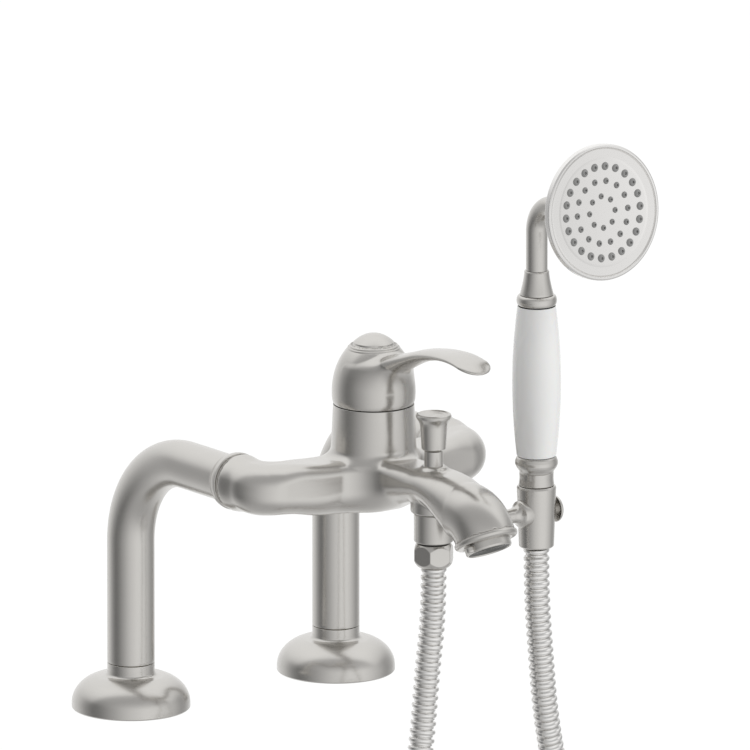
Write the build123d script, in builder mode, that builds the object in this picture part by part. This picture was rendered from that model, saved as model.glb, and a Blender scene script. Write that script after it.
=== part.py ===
from build123d import *
import math
import os

# Deck-mounted bath mixer with a hand shower, in millimetres.
# The origin is on the deck, midway between the two inlets. +X runs to the right along the
# inlets, the bather is on the -Y side, and +Z is up.

# Driving dimensions of the legs
inlet_centres = 150.0
leg_diameter = 28.0
leg_wall = 1.6
leg_bend_radius = 57.0
arm_height = 158.0
leg_reach = 108.0

# Escutcheons and inlets
escutcheon_diameter = 70.0
escutcheon_height = 20.3
escutcheon_wall = 2.0
escutcheon_edge = 3.0
neck_top = 27.5
neck_wall = 1.0
inlet_thread_radius = 9.3
inlet_thread_depth = 14.0
nipple_bore = 7.5
nipple_height = 46.0

# Union between a leg and the body
collar_length = 9.2
collar_swell = 1.4
collar_socket_depth = 4.5
union_washer_thickness = 0.8

# Cast body
hub_forward = 139.0
arm_end_radius = 15.0
arm_elbow_radius = 15.4
arm_elbow_setback = 21.4
arm_depth = 35.0
arm_rise = 33.0
arm_drop = 2.4
hub_base_radius = 25.3
hub_rim_radius = 23.8
hub_base_up = 12.0
hub_rim_up = 43.0
spout_radius = 18.0
spout_bend_radius = 21.3
spout_bend_angle = 62.0
spout_mouth_forward = 248.5
spout_drop = 16.3
waterway_radius = 6.0
waterway_rise = 8.0
arm_waterway_radius = 5.5

# Lever
pivot_up = 50.0
cap_radius = 24.6
cap_rise = 33.0
cap_wall = 2.3
cap_insert_radius = 15.6
lever_reach = 107.0
lever_width = 22.0
ball_gap = 0.35

# Cartridge
cartridge_radius = 15.5
cartridge_wall = 2.3
cartridge_flange_radius = 18.2
disc_thickness = 3.5
disc_slide = 3.6
carrier_neck_radius = 8.6
spindle_size = 7.0
pin_radius = 1.5
running_gap = 0.05
loose_gap = 0.3

# Diverter and shower outlet
diverter_forward = 198.0
boss_radius = 13.6
boss_down = 11.0
diverter_chamber_radius = 7.9
diverter_spindle_radius = 2.5
knob_radius = 10.5
knob_height = 22.0
outlet_thread_radius = 8.3
outlet_bore = 5.5
eye_radius = 11.6
eye_height = 16.4
hose_nut_across_corners = 24.4
hose_nut_height = 14.5

# Cradle
sleeve_offset = 75.0
sleeve_top_radius = 11.65
sleeve_bottom_radius = 10.3
sleeve_height = 37.0
sleeve_top_down = 6.0
cone_top_radius = 9.6
cone_bottom_radius = 8.75
rod_radius = 4.35
sleeve_screw_radius = 8.0

# Hand shower
grip_length = 89.8
grip_end_radius = 11.55
grip_middle_radius = 14.4
grip_bore = 6.6
grip_tube_radius = 5.5
grip_tube_bore = 4.0
grip_washer = 0.5
lower_ferrule_length = 17.0
upper_ring_height = 6.4
upper_ferrule_height = 14.6
neck_radius = 6.35
neck_bore = 4.7
neck_rise = 39.0
neck_bend_radius = 17.5
rose_tilt = 7.2
rose_forward = 65.8
rose_radius = 40.0
rose_rim = 4.4
rose_hub_radius = 9.5
nozzle_rings = ((22, 27.0, 2.0), (14, 18.4, 1.5), (8, 9.3, 1.5))

# Hose
hose_crest_radius = 7.5
hose_root_radius = 6.9
hose_bore = 4.6
rib_pitch = 5.1
rib_groove = 0.9
coil_radius = 88.2
coil_centre = (37.0, -133.0)
coil_spacing = 15.7
coil_start_angle = 160.0
coil_end_angle = 1100.0
coil_lead = 22.0
tie_thickness = 1.6
tie_width = 8.0
tie_gap = 0.6

os.makedirs("parts", exist_ok=True)


def turning_plane(origin, along):
    """Plane whose X is a radius and whose Y runs along an axis square to global X."""
    direction = Vector(*along).normalized()
    return Plane(origin=origin, x_dir=(1, 0, 0), z_dir=Vector(1, 0, 0).cross(direction))


def turn(plane, *points, mode=Mode.ADD):
    """Turn a closed outline of (radius, distance) points about the plane's Y axis."""
    with BuildSketch(plane) as outline:
        with BuildLine():
            Polyline(*points, close=True)
        make_face()
    revolve(outline.sketch, axis=Axis(plane.origin, plane.y_dir), mode=mode)


def ring(plane, inner, outer, start, end, mode=Mode.ADD):
    """Turn a plain ring, or a disc when the inner radius is 0."""
    turn(plane, (inner, start), (outer, start), (outer, end), (inner, end), mode=mode)


def bore(plane, radius, start, end):
    """Cut a round hole along the plane's Y axis."""
    ring(plane, 0, radius, start, end, mode=Mode.SUBTRACT)


# Places worked out from the driving dimensions
up = (0, 0, 1)
leg_radius = leg_diameter / 2
leg_bore = leg_radius - leg_wall
joint_gap = 0.3
leg_foot = neck_top + joint_gap
hub_base = arm_height + hub_base_up
hub_rim = arm_height + hub_rim_up
pivot = arm_height + pivot_up
hub_plane = turning_plane((0, -hub_forward, 0), up)
half_centres = inlet_centres / 2
arm_face = leg_reach + joint_gap + union_washer_thickness
elbow_forward = leg_reach + arm_elbow_setback
elbow = Vector(half_centres, -elbow_forward, arm_height)
hub_centre = Vector(0, -hub_forward, arm_height - arm_drop)

# Inlet nipples: threaded socket below, O-ring and spigot inside the leg
nipple_radius = leg_bore - 0.2
nipple_flange = 17.0
nipple_flange_height = 3.0
o_ring_section = 1.2
o_ring_height = 38.0
for side, sign in (("left", -1), ("right", 1)):
    inlet_plane = turning_plane((sign * half_centres, 0, 0), up)
    with BuildPart() as inlet_nipple:
        turn(
            inlet_plane,
            (inlet_thread_radius, 0),
            (nipple_flange, 0),
            (nipple_flange, nipple_flange_height),
            (nipple_radius, nipple_flange_height),
            (nipple_radius, nipple_height),
            (nipple_bore, nipple_height),
            (nipple_bore, inlet_thread_depth),
            (inlet_thread_radius, inlet_thread_depth),
        )
        ring(
            inlet_plane,
            nipple_radius - o_ring_section,
            nipple_radius + 1,
            o_ring_height,
            o_ring_height + 2 * o_ring_section,
            mode=Mode.SUBTRACT,
        )
    inlet_nipple.part.label = f"inlet_nipple_{side}"
    export_step(inlet_nipple.part, f"parts/inlet_nipple_{side}.step")

    # Escutcheon: a domed rose that slides down the neck to the deck
    dome_width = escutcheon_diameter / 2 - leg_radius
    dome_rise = escutcheon_height - escutcheon_edge
    with BuildPart() as escutcheon:
        with BuildSketch(inlet_plane) as dome_outline:
            with BuildLine():
                Polyline(
                    (leg_radius - neck_wall, neck_top),
                    (leg_radius, neck_top),
                    (leg_radius, escutcheon_height),
                )
                EllipticalCenterArc(
                    (leg_radius, escutcheon_edge), dome_width, dome_rise, arc_size=90
                )
                Polyline(
                    (escutcheon_diameter / 2, escutcheon_edge),
                    (escutcheon_diameter / 2, 0.8),
                    (escutcheon_diameter / 2 - 0.8, 0),
                    (escutcheon_diameter / 2 - escutcheon_wall, 0),
                    (escutcheon_diameter / 2 - escutcheon_wall, escutcheon_edge),
                )
                EllipticalCenterArc(
                    (leg_radius, escutcheon_edge),
                    dome_width - escutcheon_wall,
                    dome_rise - escutcheon_wall,
                    arc_size=90,
                )
                Polyline(
                    (leg_radius, escutcheon_height - escutcheon_wall),
                    (leg_radius - neck_wall, escutcheon_height - escutcheon_wall),
                    (leg_radius - neck_wall, neck_top),
                )
            make_face()
        revolve(dome_outline.sketch, axis=Axis(inlet_plane.origin, inlet_plane.y_dir))
    escutcheon.part.label = f"escutcheon_{side}"
    export_step(escutcheon.part, f"parts/escutcheon_{side}.step")

    # Supply leg: straight up, a wide bend, then forward to the body
    with BuildPart() as leg:
        with BuildLine() as leg_path:
            FilletPolyline(
                (sign * half_centres, 0, leg_foot),
                (sign * half_centres, 0, arm_height),
                (sign * half_centres, collar_length - collar_socket_depth - leg_reach, arm_height),
                radius=leg_bend_radius,
            )
        with BuildSketch(Plane.XY.offset(leg_foot)):
            with Locations((sign * half_centres, 0)):
                Circle(leg_radius)
                Circle(leg_bore, mode=Mode.SUBTRACT)
        sweep()
    leg.part.label = f"leg_{side}"
    export_step(leg.part, f"parts/leg_{side}.step")

    # Collar soldered to the leg's end
    collar_plane = turning_plane((sign * half_centres, 0, arm_height), (0, -1, 0))
    collar_start = leg_reach - collar_length
    socket_end = collar_start + collar_socket_depth + 0.1
    with BuildPart() as union_collar:
        turn(
            collar_plane,
            (leg_radius + 0.05, collar_start),
            (leg_radius + 0.6, collar_start),
            (leg_radius + collar_swell, collar_start + 3.5),
            (leg_radius + collar_swell, leg_reach - 0.8),
            (leg_radius + collar_swell - 0.8, leg_reach),
            (leg_bore - 1.5, leg_reach),
            (leg_bore - 1.5, socket_end),
            (leg_radius + 0.05, socket_end),
        )
    union_collar.part.label = f"union_collar_{side}"
    export_step(union_collar.part, f"parts/union_collar_{side}.step")

# O-rings on the nipples
with BuildPart() as inlet_o_rings:
    for sign in (-1, 1):
        ring(
            turning_plane((sign * half_centres, 0, 0), up),
            nipple_radius - o_ring_section + 0.05,
            nipple_radius + 0.1,
            o_ring_height + 0.1,
            o_ring_height + 2 * o_ring_section - 0.1,
        )
inlet_o_rings.part.label = "inlet_o_rings"
export_step(inlet_o_rings.part, "parts/inlet_o_rings.step")

# Washers between the collars and the body
with BuildPart() as union_washers:
    for sign in (-1, 1):
        ring(
            turning_plane((sign * half_centres, 0, arm_height), (0, -1, 0)),
            leg_bore - 1.5,
            leg_radius - 0.4,
            leg_reach + joint_gap / 2,
            arm_face - joint_gap / 2,
        )
union_washers.part.label = "union_washers"
export_step(union_washers.part, "parts/union_washers.step")

# Cast body: two arms, hub, spout, outlet boss and the waterways bored in them
chamber_floor = hub_base + 9.0
cartridge_seat = chamber_floor + 1.0
port_radius = 3.4
port_offset = 8.0
spout_end = Vector(0, -spout_mouth_forward, arm_height - spout_drop)
bend = math.radians(spout_bend_angle)
spout_dir = Vector(0, -math.cos(bend), -math.sin(bend))
spout_bend_start = spout_mouth_forward - spout_bend_radius * math.sin(bend)
spout_line = arm_height - spout_drop + spout_bend_radius * (1 - math.cos(bend))
corner_setback = spout_bend_radius * math.tan(bend / 2)
mouth_plane = turning_plane(spout_end, spout_dir)
diverter_plane = turning_plane((0, -diverter_forward, 0), up)
boss_bottom = arm_height - boss_down
bush_seat = arm_height + 15.6
arm_dir = (hub_centre - elbow).normalized()
arm_side = Vector(arm_dir.Y, -arm_dir.X, 0).normalized()
arm_length = (hub_centre - elbow).length
arm_end_width = 2 * arm_end_radius - 0.5
arm_stations = (
    (elbow, arm_side, arm_dir, arm_end_width, arm_end_width, arm_end_radius - 0.4),
    (elbow + arm_dir * (0.45 * arm_length), arm_side, arm_dir, arm_depth - 1.5, arm_rise - 1.8, 12.5),
    (hub_centre, Vector(0, 1, 0), Vector(-1, 0, 0), arm_depth, arm_rise, 11.0),
)
spout_stations = (
    (hub_forward, arm_height - arm_drop, 34.0, arm_rise, 11.0),
    (hub_forward + 24.0, arm_height - 0.8, 33.5, arm_rise - 4.5, 10.5),
    (hub_forward + 43.0, arm_height + 2.5, 33.5, 21.0, 9.0),
    (hub_forward + 60.0, arm_height + 4.8, 34.0, 19.0, 8.5),
    (hub_forward + 76.0, spout_line + 6.6, 35.0, 25.2, 11.5),
    (spout_bend_start, spout_line, 2 * spout_radius - 0.4, 2 * spout_radius - 0.4, 17.7),
)
with BuildPart() as body:
    ring(
        turning_plane((half_centres, 0, arm_height), (0, -1, 0)),
        0,
        arm_end_radius,
        arm_face,
        elbow_forward,
    )
    elbow_plane = turning_plane((half_centres, -elbow_forward, arm_height), up)
    with BuildSketch(elbow_plane) as elbow_outline:
        with BuildLine():
            ball = CenterArc((0, 0), arm_elbow_radius, -86, 172)
            Polyline(ball @ 1, (0, (ball @ 1).Y), (0, (ball @ 0).Y), ball @ 0)
        make_face()
    revolve(elbow_outline.sketch, axis=Axis(elbow_plane.origin, up))
    for centre, sideways, along, depth, rise, corner in arm_stations:
        with BuildSketch(Plane(origin=centre, x_dir=sideways, z_dir=along)):
            RectangleRounded(depth, rise, corner)
    loft()
    mirror(about=Plane.YZ)
    for forward, height, width, rise, corner in spout_stations:
        with BuildSketch(Plane(origin=(0, -forward, height), x_dir=(1, 0, 0), z_dir=(0, -1, 0))):
            RectangleRounded(width, rise, corner)
    loft()
    with BuildSketch(
        Plane(origin=(0, -spout_bend_start, spout_line), x_dir=(1, 0, 0), z_dir=(0, -1, 0))
    ) as spout_section:
        Circle(spout_radius)
    bend_axis = Axis((0, -spout_bend_start, spout_line - spout_bend_radius), (1, 0, 0))
    revolve(spout_section.sketch, axis=bend_axis, revolution_arc=spout_bend_angle)
    turn(
        mouth_plane,
        (0, 0),
        (spout_radius + 0.9, 0),
        (spout_radius + 0.9, 2.6),
        (spout_radius, 3.5),
        (0, 3.5),
    )
    turn(
        hub_plane,
        (0, arm_height - 6),
        (hub_base_radius - 6, arm_height - 6),
        (hub_base_radius, arm_height + 3),
        (hub_base_radius, hub_base),
        (hub_rim_radius, hub_rim),
        (0, hub_rim),
    )
    turn(
        diverter_plane,
        (0, boss_bottom),
        (boss_radius - 1.4, boss_bottom),
        (boss_radius, boss_bottom + 1.2),
        (boss_radius, arm_height),
        (0, arm_height),
    )
    turn(
        diverter_plane,
        (0, arm_height),
        (12.5, arm_height + 6),
        (12.5, bush_seat - 2.5),
        (10.5, bush_seat),
        (0, bush_seat),
    )
    # Room for the collars behind the arms' ends
    for sign in (-1, 1):
        collar_room = turning_plane((sign * half_centres, 0, arm_height), (0, -1, 0))
        room_start = leg_reach - 2 * collar_length
        bore(collar_room, leg_radius + collar_swell + 0.8, room_start, arm_face)
    # Cartridge chamber, the round seat of the cap and the ports
    bore(hub_plane, cartridge_flange_radius + 0.3, chamber_floor, hub_rim + 1)
    with Locations((0, -hub_forward, pivot)):
        Sphere(cap_radius + ball_gap, mode=Mode.SUBTRACT)
    for sign in (-1, 1):
        port_plane = turning_plane((sign * port_offset, -hub_forward + 5, 0), up)
        bore(port_plane, port_radius, arm_height - 2, chamber_floor + 1)
        elbow_point = Vector(sign * half_centres, -elbow_forward, arm_height)
        port_point = Vector(sign * port_offset, -hub_forward + 5, arm_height)
        channel = port_point - elbow_point
        with BuildSketch(Plane(origin=elbow_point, z_dir=channel)) as channel_section:
            Circle(arm_waterway_radius)
        extrude(channel_section.sketch, amount=channel.length, mode=Mode.SUBTRACT)
        inlet_bore = turning_plane((sign * half_centres, 0, arm_height), (0, -1, 0))
        bore(inlet_bore, leg_bore - 1.5, arm_face - 1, elbow_forward)
    mixed_plane = turning_plane((0, -hub_forward - 9, 0), up)
    bore(mixed_plane, port_radius + 0.8, arm_height, chamber_floor + 1)
    # Spout waterway, mouth socket for the aerator and the diverter's chamber
    spout_run = turning_plane((0, 0, spout_line + waterway_rise), (0, -1, 0))
    bore(spout_run, waterway_radius, hub_forward + 6, spout_bend_start + corner_setback - 4)
    bore(mouth_plane, waterway_radius, -corner_setback - waterway_rise, 4)
    bore(mouth_plane, 13.0, -5.0, 4)
    bore(diverter_plane, outlet_thread_radius - 0.4, boss_bottom - 1, boss_bottom + 10)
    bore(diverter_plane, diverter_chamber_radius, boss_bottom + 3, bush_seat + 1)
body.part.label = "body"
export_step(body.part, "parts/body.step")

# Cartridge base with its three ports, held down by the flange
cartridge_ports = (
    (port_offset, -hub_forward + 5, port_radius - 0.4),
    (-port_offset, -hub_forward + 5, port_radius - 0.4),
    (0, -hub_forward - 9, port_radius),
)
flange_top = cartridge_seat + 4.6
fixed_disc_bottom = arm_height + 32.0
inside_radius = cartridge_radius - cartridge_wall
with BuildPart() as cartridge_base:
    turn(
        hub_plane,
        (0, cartridge_seat),
        (cartridge_flange_radius, cartridge_seat),
        (cartridge_flange_radius, flange_top),
        (inside_radius - 0.1, flange_top),
        (inside_radius - 0.1, fixed_disc_bottom - 0.1),
        (0, fixed_disc_bottom - 0.1),
    )
    with BuildSketch(Plane.XY.offset(cartridge_seat - 1)) as base_ports:
        for x, y, radius in cartridge_ports:
            with Locations((x, y)):
                Circle(radius)
    extrude(base_ports.sketch, amount=20, mode=Mode.SUBTRACT)
cartridge_base.part.label = "cartridge_base"
export_step(cartridge_base.part, "parts/cartridge_base.step")

# Three port seals between the cartridge and the chamber's floor
with BuildPart() as cartridge_seals:
    for x, y, radius in cartridge_ports:
        ring(
            turning_plane((x, y, 0), up),
            radius + 0.9,
            radius + 2.0,
            chamber_floor + 0.05,
            cartridge_seat - 0.05,
        )
cartridge_seals.part.label = "cartridge_seals"
export_step(cartridge_seals.part, "parts/cartridge_seals.step")

# Housing over the discs, with the hole that the carrier turns in
lid_bottom = arm_height + 42.0
lid_top = arm_height + 45.0
with BuildPart() as cartridge_housing:
    turn(
        hub_plane,
        (inside_radius, flange_top + 0.1),
        (cartridge_radius, flange_top + 0.1),
        (cartridge_radius, lid_top),
        (carrier_neck_radius + running_gap, lid_top),
        (carrier_neck_radius + running_gap, lid_bottom),
        (inside_radius, lid_bottom),
    )
cartridge_housing.part.label = "cartridge_housing"
export_step(cartridge_housing.part, "parts/cartridge_housing.step")

# Nut that clamps the flange
nut_top = arm_height + 32.5
with BuildPart() as cartridge_nut:
    ring(
        hub_plane,
        cartridge_radius + loose_gap,
        cartridge_flange_radius + 0.1,
        flange_top + 0.1,
        nut_top,
    )
cartridge_nut.part.label = "cartridge_nut"
export_step(cartridge_nut.part, "parts/cartridge_nut.step")

# Ceramic discs: the lower one is fixed, the upper one turns and slides on it
moving_disc_bottom = fixed_disc_bottom + disc_thickness + 0.05
moving_disc_top = moving_disc_bottom + 3.7
moving_disc_radius = inside_radius - disc_slide - 0.35
with BuildPart() as fixed_disc:
    ring(
        hub_plane,
        0,
        inside_radius - 0.1,
        fixed_disc_bottom,
        fixed_disc_bottom + disc_thickness,
    )
    with BuildSketch(Plane.XY.offset(fixed_disc_bottom - 1)) as disc_ports:
        for x, y, radius in cartridge_ports:
            with Locations((x, y)):
                Circle(radius)
    extrude(disc_ports.sketch, amount=10, mode=Mode.SUBTRACT)
fixed_disc.part.label = "fixed_disc"
export_step(fixed_disc.part, "parts/fixed_disc.step")

pocket_half = spindle_size / 2 + 0.9
with BuildPart() as moving_disc:
    ring(hub_plane, 0, moving_disc_radius, moving_disc_bottom, moving_disc_top)
    with BuildSketch(Plane.XY.offset(moving_disc_top - 2.4)) as pocket:
        with Locations((0, -hub_forward)):
            Rectangle(2 * pocket_half, 2 * pocket_half)
    extrude(pocket.sketch, amount=5, mode=Mode.SUBTRACT)
moving_disc.part.label = "moving_disc"
export_step(moving_disc.part, "parts/moving_disc.step")

# Carrier that turns with the lever and holds the pivot pin
carrier_bottom = moving_disc_top + 0.3
carrier_top = pivot + 3.5
slot_half_width = spindle_size / 2 + loose_gap
with BuildPart() as cartridge_carrier:
    turn(
        hub_plane,
        (0, carrier_bottom),
        (inside_radius - loose_gap, carrier_bottom),
        (inside_radius - loose_gap, lid_bottom - 0.1),
        (carrier_neck_radius, lid_bottom - 0.1),
        (carrier_neck_radius, carrier_top),
        (0, carrier_top),
    )
    with BuildSketch(Plane.XY.offset(carrier_bottom - 1)) as slot:
        with Locations((0, -hub_forward - 0.9)):
            Rectangle(2 * slot_half_width, 12.6)
    extrude(slot.sketch, amount=30, mode=Mode.SUBTRACT)
    pin_section = Plane(origin=(-12, -hub_forward, pivot), x_dir=(0, 1, 0), z_dir=(1, 0, 0))
    with BuildSketch(pin_section) as pin_hole:
        Circle(pin_radius + 0.02)
    extrude(pin_hole.sketch, amount=24, mode=Mode.SUBTRACT)
cartridge_carrier.part.label = "cartridge_carrier"
export_step(cartridge_carrier.part, "parts/cartridge_carrier.step")

pin_half_length = carrier_neck_radius - 0.5
with BuildPart() as pivot_pin:
    pin_start = Plane(
        origin=(-pin_half_length, -hub_forward, pivot), x_dir=(0, 1, 0), z_dir=(1, 0, 0)
    )
    with BuildSketch(pin_start):
        Circle(pin_radius)
    extrude(amount=2 * pin_half_length)
pivot_pin.part.label = "pivot_pin"
export_step(pivot_pin.part, "parts/pivot_pin.step")

# Lever spindle: a square bar on the pin, its lower tip in the moving disc's pocket
spindle_top = pivot + 24.0
tip_radius = spindle_size / 2 - 0.3
with BuildPart() as lever_spindle:
    with BuildSketch(Plane.XY.offset(pivot - 6)):
        with Locations((0, -hub_forward)):
            Rectangle(spindle_size, spindle_size)
    extrude(amount=spindle_top - pivot + 6)
    turn(
        hub_plane,
        (0, moving_disc_top - 1.4),
        (tip_radius - 0.8, moving_disc_top - 1.4),
        (tip_radius, moving_disc_top - 0.6),
        (tip_radius, pivot - 5),
        (0, pivot - 5),
    )
    with BuildSketch(pin_section) as spindle_hole:
        Circle(pin_radius + running_gap)
    extrude(spindle_hole.sketch, amount=24, mode=Mode.SUBTRACT)
lever_spindle.part.label = "lever_spindle"
export_step(lever_spindle.part, "parts/lever_spindle.step")

# Lever: domed cap with a round lower skirt, and a flat blade that curves over the spout
skirt_front = math.radians(36.0)
skirt_rear = math.radians(18.0)
inner_cap_radius = cap_radius - cap_wall
socket_bottom = pivot + 8.5
blade_top = (
    (hub_forward + 17.0, pivot + 26.0),
    (hub_forward + 34.0, pivot + 33.0),
    (hub_forward + 54.0, pivot + 38.0),
    (hub_forward + 76.0, pivot + 39.0),
    (hub_forward + 96.0, pivot + 34.5),
    (hub_forward + lever_reach, pivot + 31.5),
)
blade_under = (
    (hub_forward + lever_reach, pivot + 27.5),
    (hub_forward + 94.0, pivot + 28.0),
    (hub_forward + 74.0, pivot + 32.0),
    (hub_forward + 52.0, pivot + 29.5),
    (hub_forward + 34.0, pivot + 21.0),
    (hub_forward + 19.0, pivot + 8.0),
)
lever_tip = hub_forward + lever_reach
skirt_angle = 42.0
dome_angles = (0, 20, 40, 60, 84)
dome_tangents = ((0, 1), (-1, 0.1))
skirt_bottom = pivot - cap_radius * math.sin(math.radians(skirt_angle))
skirt_radius = cap_radius * math.cos(math.radians(skirt_angle))
inner_skirt_angle = math.degrees(math.asin((pivot - skirt_bottom) / inner_cap_radius))
inner_skirt_radius = inner_cap_radius * math.cos(math.radians(inner_skirt_angle))


def dome_points(radius, rise):
    """Points of half an ellipse above the pivot, which stops short of its top."""
    turns = [math.radians(angle) for angle in dome_angles]
    return [(radius * math.cos(turn), pivot + rise * math.sin(turn)) for turn in turns]


with BuildPart() as lever_handle:
    # Blade: its side outline, rounded to the plan outline
    with BuildSketch(Plane.YZ) as blade_side:
        with BuildLine():
            Spline([(-forward, height) for forward, height in blade_top])
            Line(
                (-blade_top[-1][0], blade_top[-1][1]),
                (-blade_under[0][0], blade_under[0][1]),
            )
            Spline([(-forward, height) for forward, height in blade_under])
            Line(
                (-blade_under[-1][0], blade_under[-1][1]),
                (-blade_top[0][0], blade_top[0][1]),
            )
        make_face()
    extrude(blade_side.sketch, amount=lever_width / 2, both=True)
    with BuildSketch(Plane.XY.offset(pivot)) as blade_plan:
        with BuildLine():
            Polyline(
                (-lever_width / 2, -lever_tip + lever_width / 2),
                (-lever_width / 2 + 1.5, -hub_forward - 50),
                (-lever_width / 2, -hub_forward),
                (lever_width / 2, -hub_forward),
                (lever_width / 2 - 1.5, -hub_forward - 50),
                (lever_width / 2, -lever_tip + lever_width / 2),
            )
            ThreePointArc(
                (lever_width / 2, -lever_tip + lever_width / 2),
                (0, -lever_tip),
                (-lever_width / 2, -lever_tip + lever_width / 2),
            )
        make_face()
    extrude(blade_plan.sketch, amount=60, mode=Mode.INTERSECT)
    # Cap: half an ellipsoid above, part of a ball below, hollow
    with BuildSketch(hub_plane) as cap_outline:
        with BuildLine():
            CenterArc((0, pivot), cap_radius, -skirt_angle, skirt_angle)
            dome = Spline(dome_points(cap_radius, cap_rise), tangents=dome_tangents)
            Polyline(dome @ 1, (0, (dome @ 1).Y), (0, skirt_bottom), (skirt_radius, skirt_bottom))
        make_face()
    revolve(cap_outline.sketch, axis=Axis(hub_plane.origin, up))
    with BuildSketch(hub_plane) as cap_hollow:
        with BuildLine():
            CenterArc((0, pivot), inner_cap_radius, -inner_skirt_angle, inner_skirt_angle)
            ceiling = Spline(
                dome_points(inner_cap_radius, cap_rise - cap_wall), tangents=dome_tangents
            )
            Polyline(
                ceiling @ 1,
                (0, (ceiling @ 1).Y),
                (0, skirt_bottom - 1),
                (inner_skirt_radius, skirt_bottom - 1),
                (inner_skirt_radius, skirt_bottom),
            )
        make_face()
    revolve(cap_hollow.sketch, axis=Axis(hub_plane.origin, up), mode=Mode.SUBTRACT)
    # Skirt cut on a slope, lower at the front than at the rear
    front_y = -hub_forward - cap_radius * math.cos(skirt_front)
    front_z = pivot - cap_radius * math.sin(skirt_front)
    rear_y = -hub_forward + cap_radius * math.cos(skirt_rear)
    rear_z = pivot - cap_radius * math.sin(skirt_rear)
    with BuildSketch(Plane.YZ) as below_skirt:
        with BuildLine():
            Polyline(
                (front_y, front_z),
                (rear_y, rear_z),
                (rear_y + 10, rear_z),
                (rear_y + 10, rear_z - 40),
                (front_y - 10, rear_z - 40),
                (front_y - 10, front_z),
                close=True,
            )
        make_face()
    extrude(below_skirt.sketch, amount=40, both=True, mode=Mode.SUBTRACT)
    # Socket boss, its square hole and the seat of the insert
    ring(hub_plane, 0, spindle_size, socket_bottom, pivot + cap_rise - cap_wall - 0.2)
    with BuildSketch(Plane.XY.offset(socket_bottom - 1)) as square_hole:
        with Locations((0, -hub_forward)):
            Rectangle(spindle_size + 0.1, spindle_size + 0.1)
    extrude(square_hole.sketch, amount=spindle_top - socket_bottom + 1.3, mode=Mode.SUBTRACT)
    insert_seat = pivot + cap_rise * math.sqrt(1 - (cap_insert_radius / cap_radius) ** 2)
    ring(
        hub_plane,
        cap_insert_radius - 2.2,
        cap_insert_radius + 0.1,
        insert_seat - 1.2,
        insert_seat + 3,
        mode=Mode.SUBTRACT,
    )
    grub_plane = turning_plane((0, -hub_forward, pivot + 15), (0, 1, 0))
    bore(grub_plane, 1.55, spindle_size / 2, cap_radius + 1)
lever_handle.part.label = "lever_handle"
export_step(lever_handle.part, "parts/lever_handle.step")

# Ringed insert let into the top of the cap
with BuildPart() as cap_insert:
    turn(
        hub_plane,
        (cap_insert_radius - 2.0, insert_seat - 1.0),
        (cap_insert_radius, insert_seat - 1.0),
        (cap_insert_radius, insert_seat + 0.3),
        (cap_insert_radius - 0.6, insert_seat + 0.9),
        (cap_insert_radius - 1.2, insert_seat + 0.5),
        (cap_insert_radius - 1.6, insert_seat + 1.4),
        (cap_insert_radius - 2.0, insert_seat + 1.4),
    )
cap_insert.part.label = "cap_insert"
export_step(cap_insert.part, "parts/cap_insert.step")

# Grub screw that holds the lever on its spindle
with BuildPart() as grub_screw:
    ring(grub_plane, 0, 1.5, spindle_size / 2 + 0.05, spindle_size / 2 + 5)
grub_screw.part.label = "grub_screw"
export_step(grub_screw.part, "parts/grub_screw.step")

# Aerator in the spout's mouth
aerator_radius = 13.8
aerator_drop = 8.5
with BuildPart() as aerator_washer:
    ring(mouth_plane, 7.5, 12.6, -4.95, -3.95)
aerator_washer.part.label = "aerator_washer"
export_step(aerator_washer.part, "parts/aerator_washer.step")

with BuildPart() as aerator_insert:
    ring(mouth_plane, 0, 10.6, -3.9, 5.4)
    with BuildSketch(Plane(origin=spout_end + spout_dir * 7, z_dir=-spout_dir)) as jets:
        with PolarLocations(3.2, 6):
            Circle(0.9)
        with PolarLocations(7.0, 12):
            Circle(0.9)
        Circle(0.9)
    extrude(jets.sketch, amount=6, mode=Mode.SUBTRACT)
aerator_insert.part.label = "aerator_insert"
export_step(aerator_insert.part, "parts/aerator_insert.step")

with BuildPart() as aerator_housing:
    turn(
        mouth_plane,
        (10.7, -3.9),
        (12.9, -3.9),
        (12.9, 3.6),
        (aerator_radius, 3.6),
        (aerator_radius, aerator_drop - 1.0),
        (aerator_radius - 1.0, aerator_drop),
        (9.6, aerator_drop),
        (9.6, 5.5),
        (10.7, 5.5),
    )
    with BuildSketch(Plane(origin=spout_end + spout_dir * 4.5, z_dir=spout_dir)) as key_lug:
        with PolarLocations(aerator_radius + 1.0, 1, start_angle=150):
            Circle(2.6)
    extrude(key_lug.sketch, amount=3.6)
    ring(mouth_plane, 0, 9.6, 3.6, 9.5, mode=Mode.SUBTRACT)
aerator_housing.part.label = "aerator_housing"
export_step(aerator_housing.part, "parts/aerator_housing.step")

# Diverter: bush in the spout, spindle, valve with its seal, and the knob
bush_top = arm_height + 25.9
valve_bottom = boss_bottom + 4.0
with BuildPart() as diverter_bush:
    turn(
        diverter_plane,
        (diverter_spindle_radius + running_gap, bush_seat - 9),
        (diverter_chamber_radius - 0.1, bush_seat - 9),
        (diverter_chamber_radius - 0.1, bush_seat + 0.1),
        (9.2, bush_seat + 0.1),
        (9.2, bush_seat + 1.6),
        (7.2, bush_seat + 2.4),
        (7.2, bush_seat + 3.6),
        (5.1, bush_seat + 4.4),
        (5.1, bush_top),
        (diverter_spindle_radius + running_gap, bush_top),
    )
diverter_bush.part.label = "diverter_bush"
export_step(diverter_bush.part, "parts/diverter_bush.step")

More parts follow.
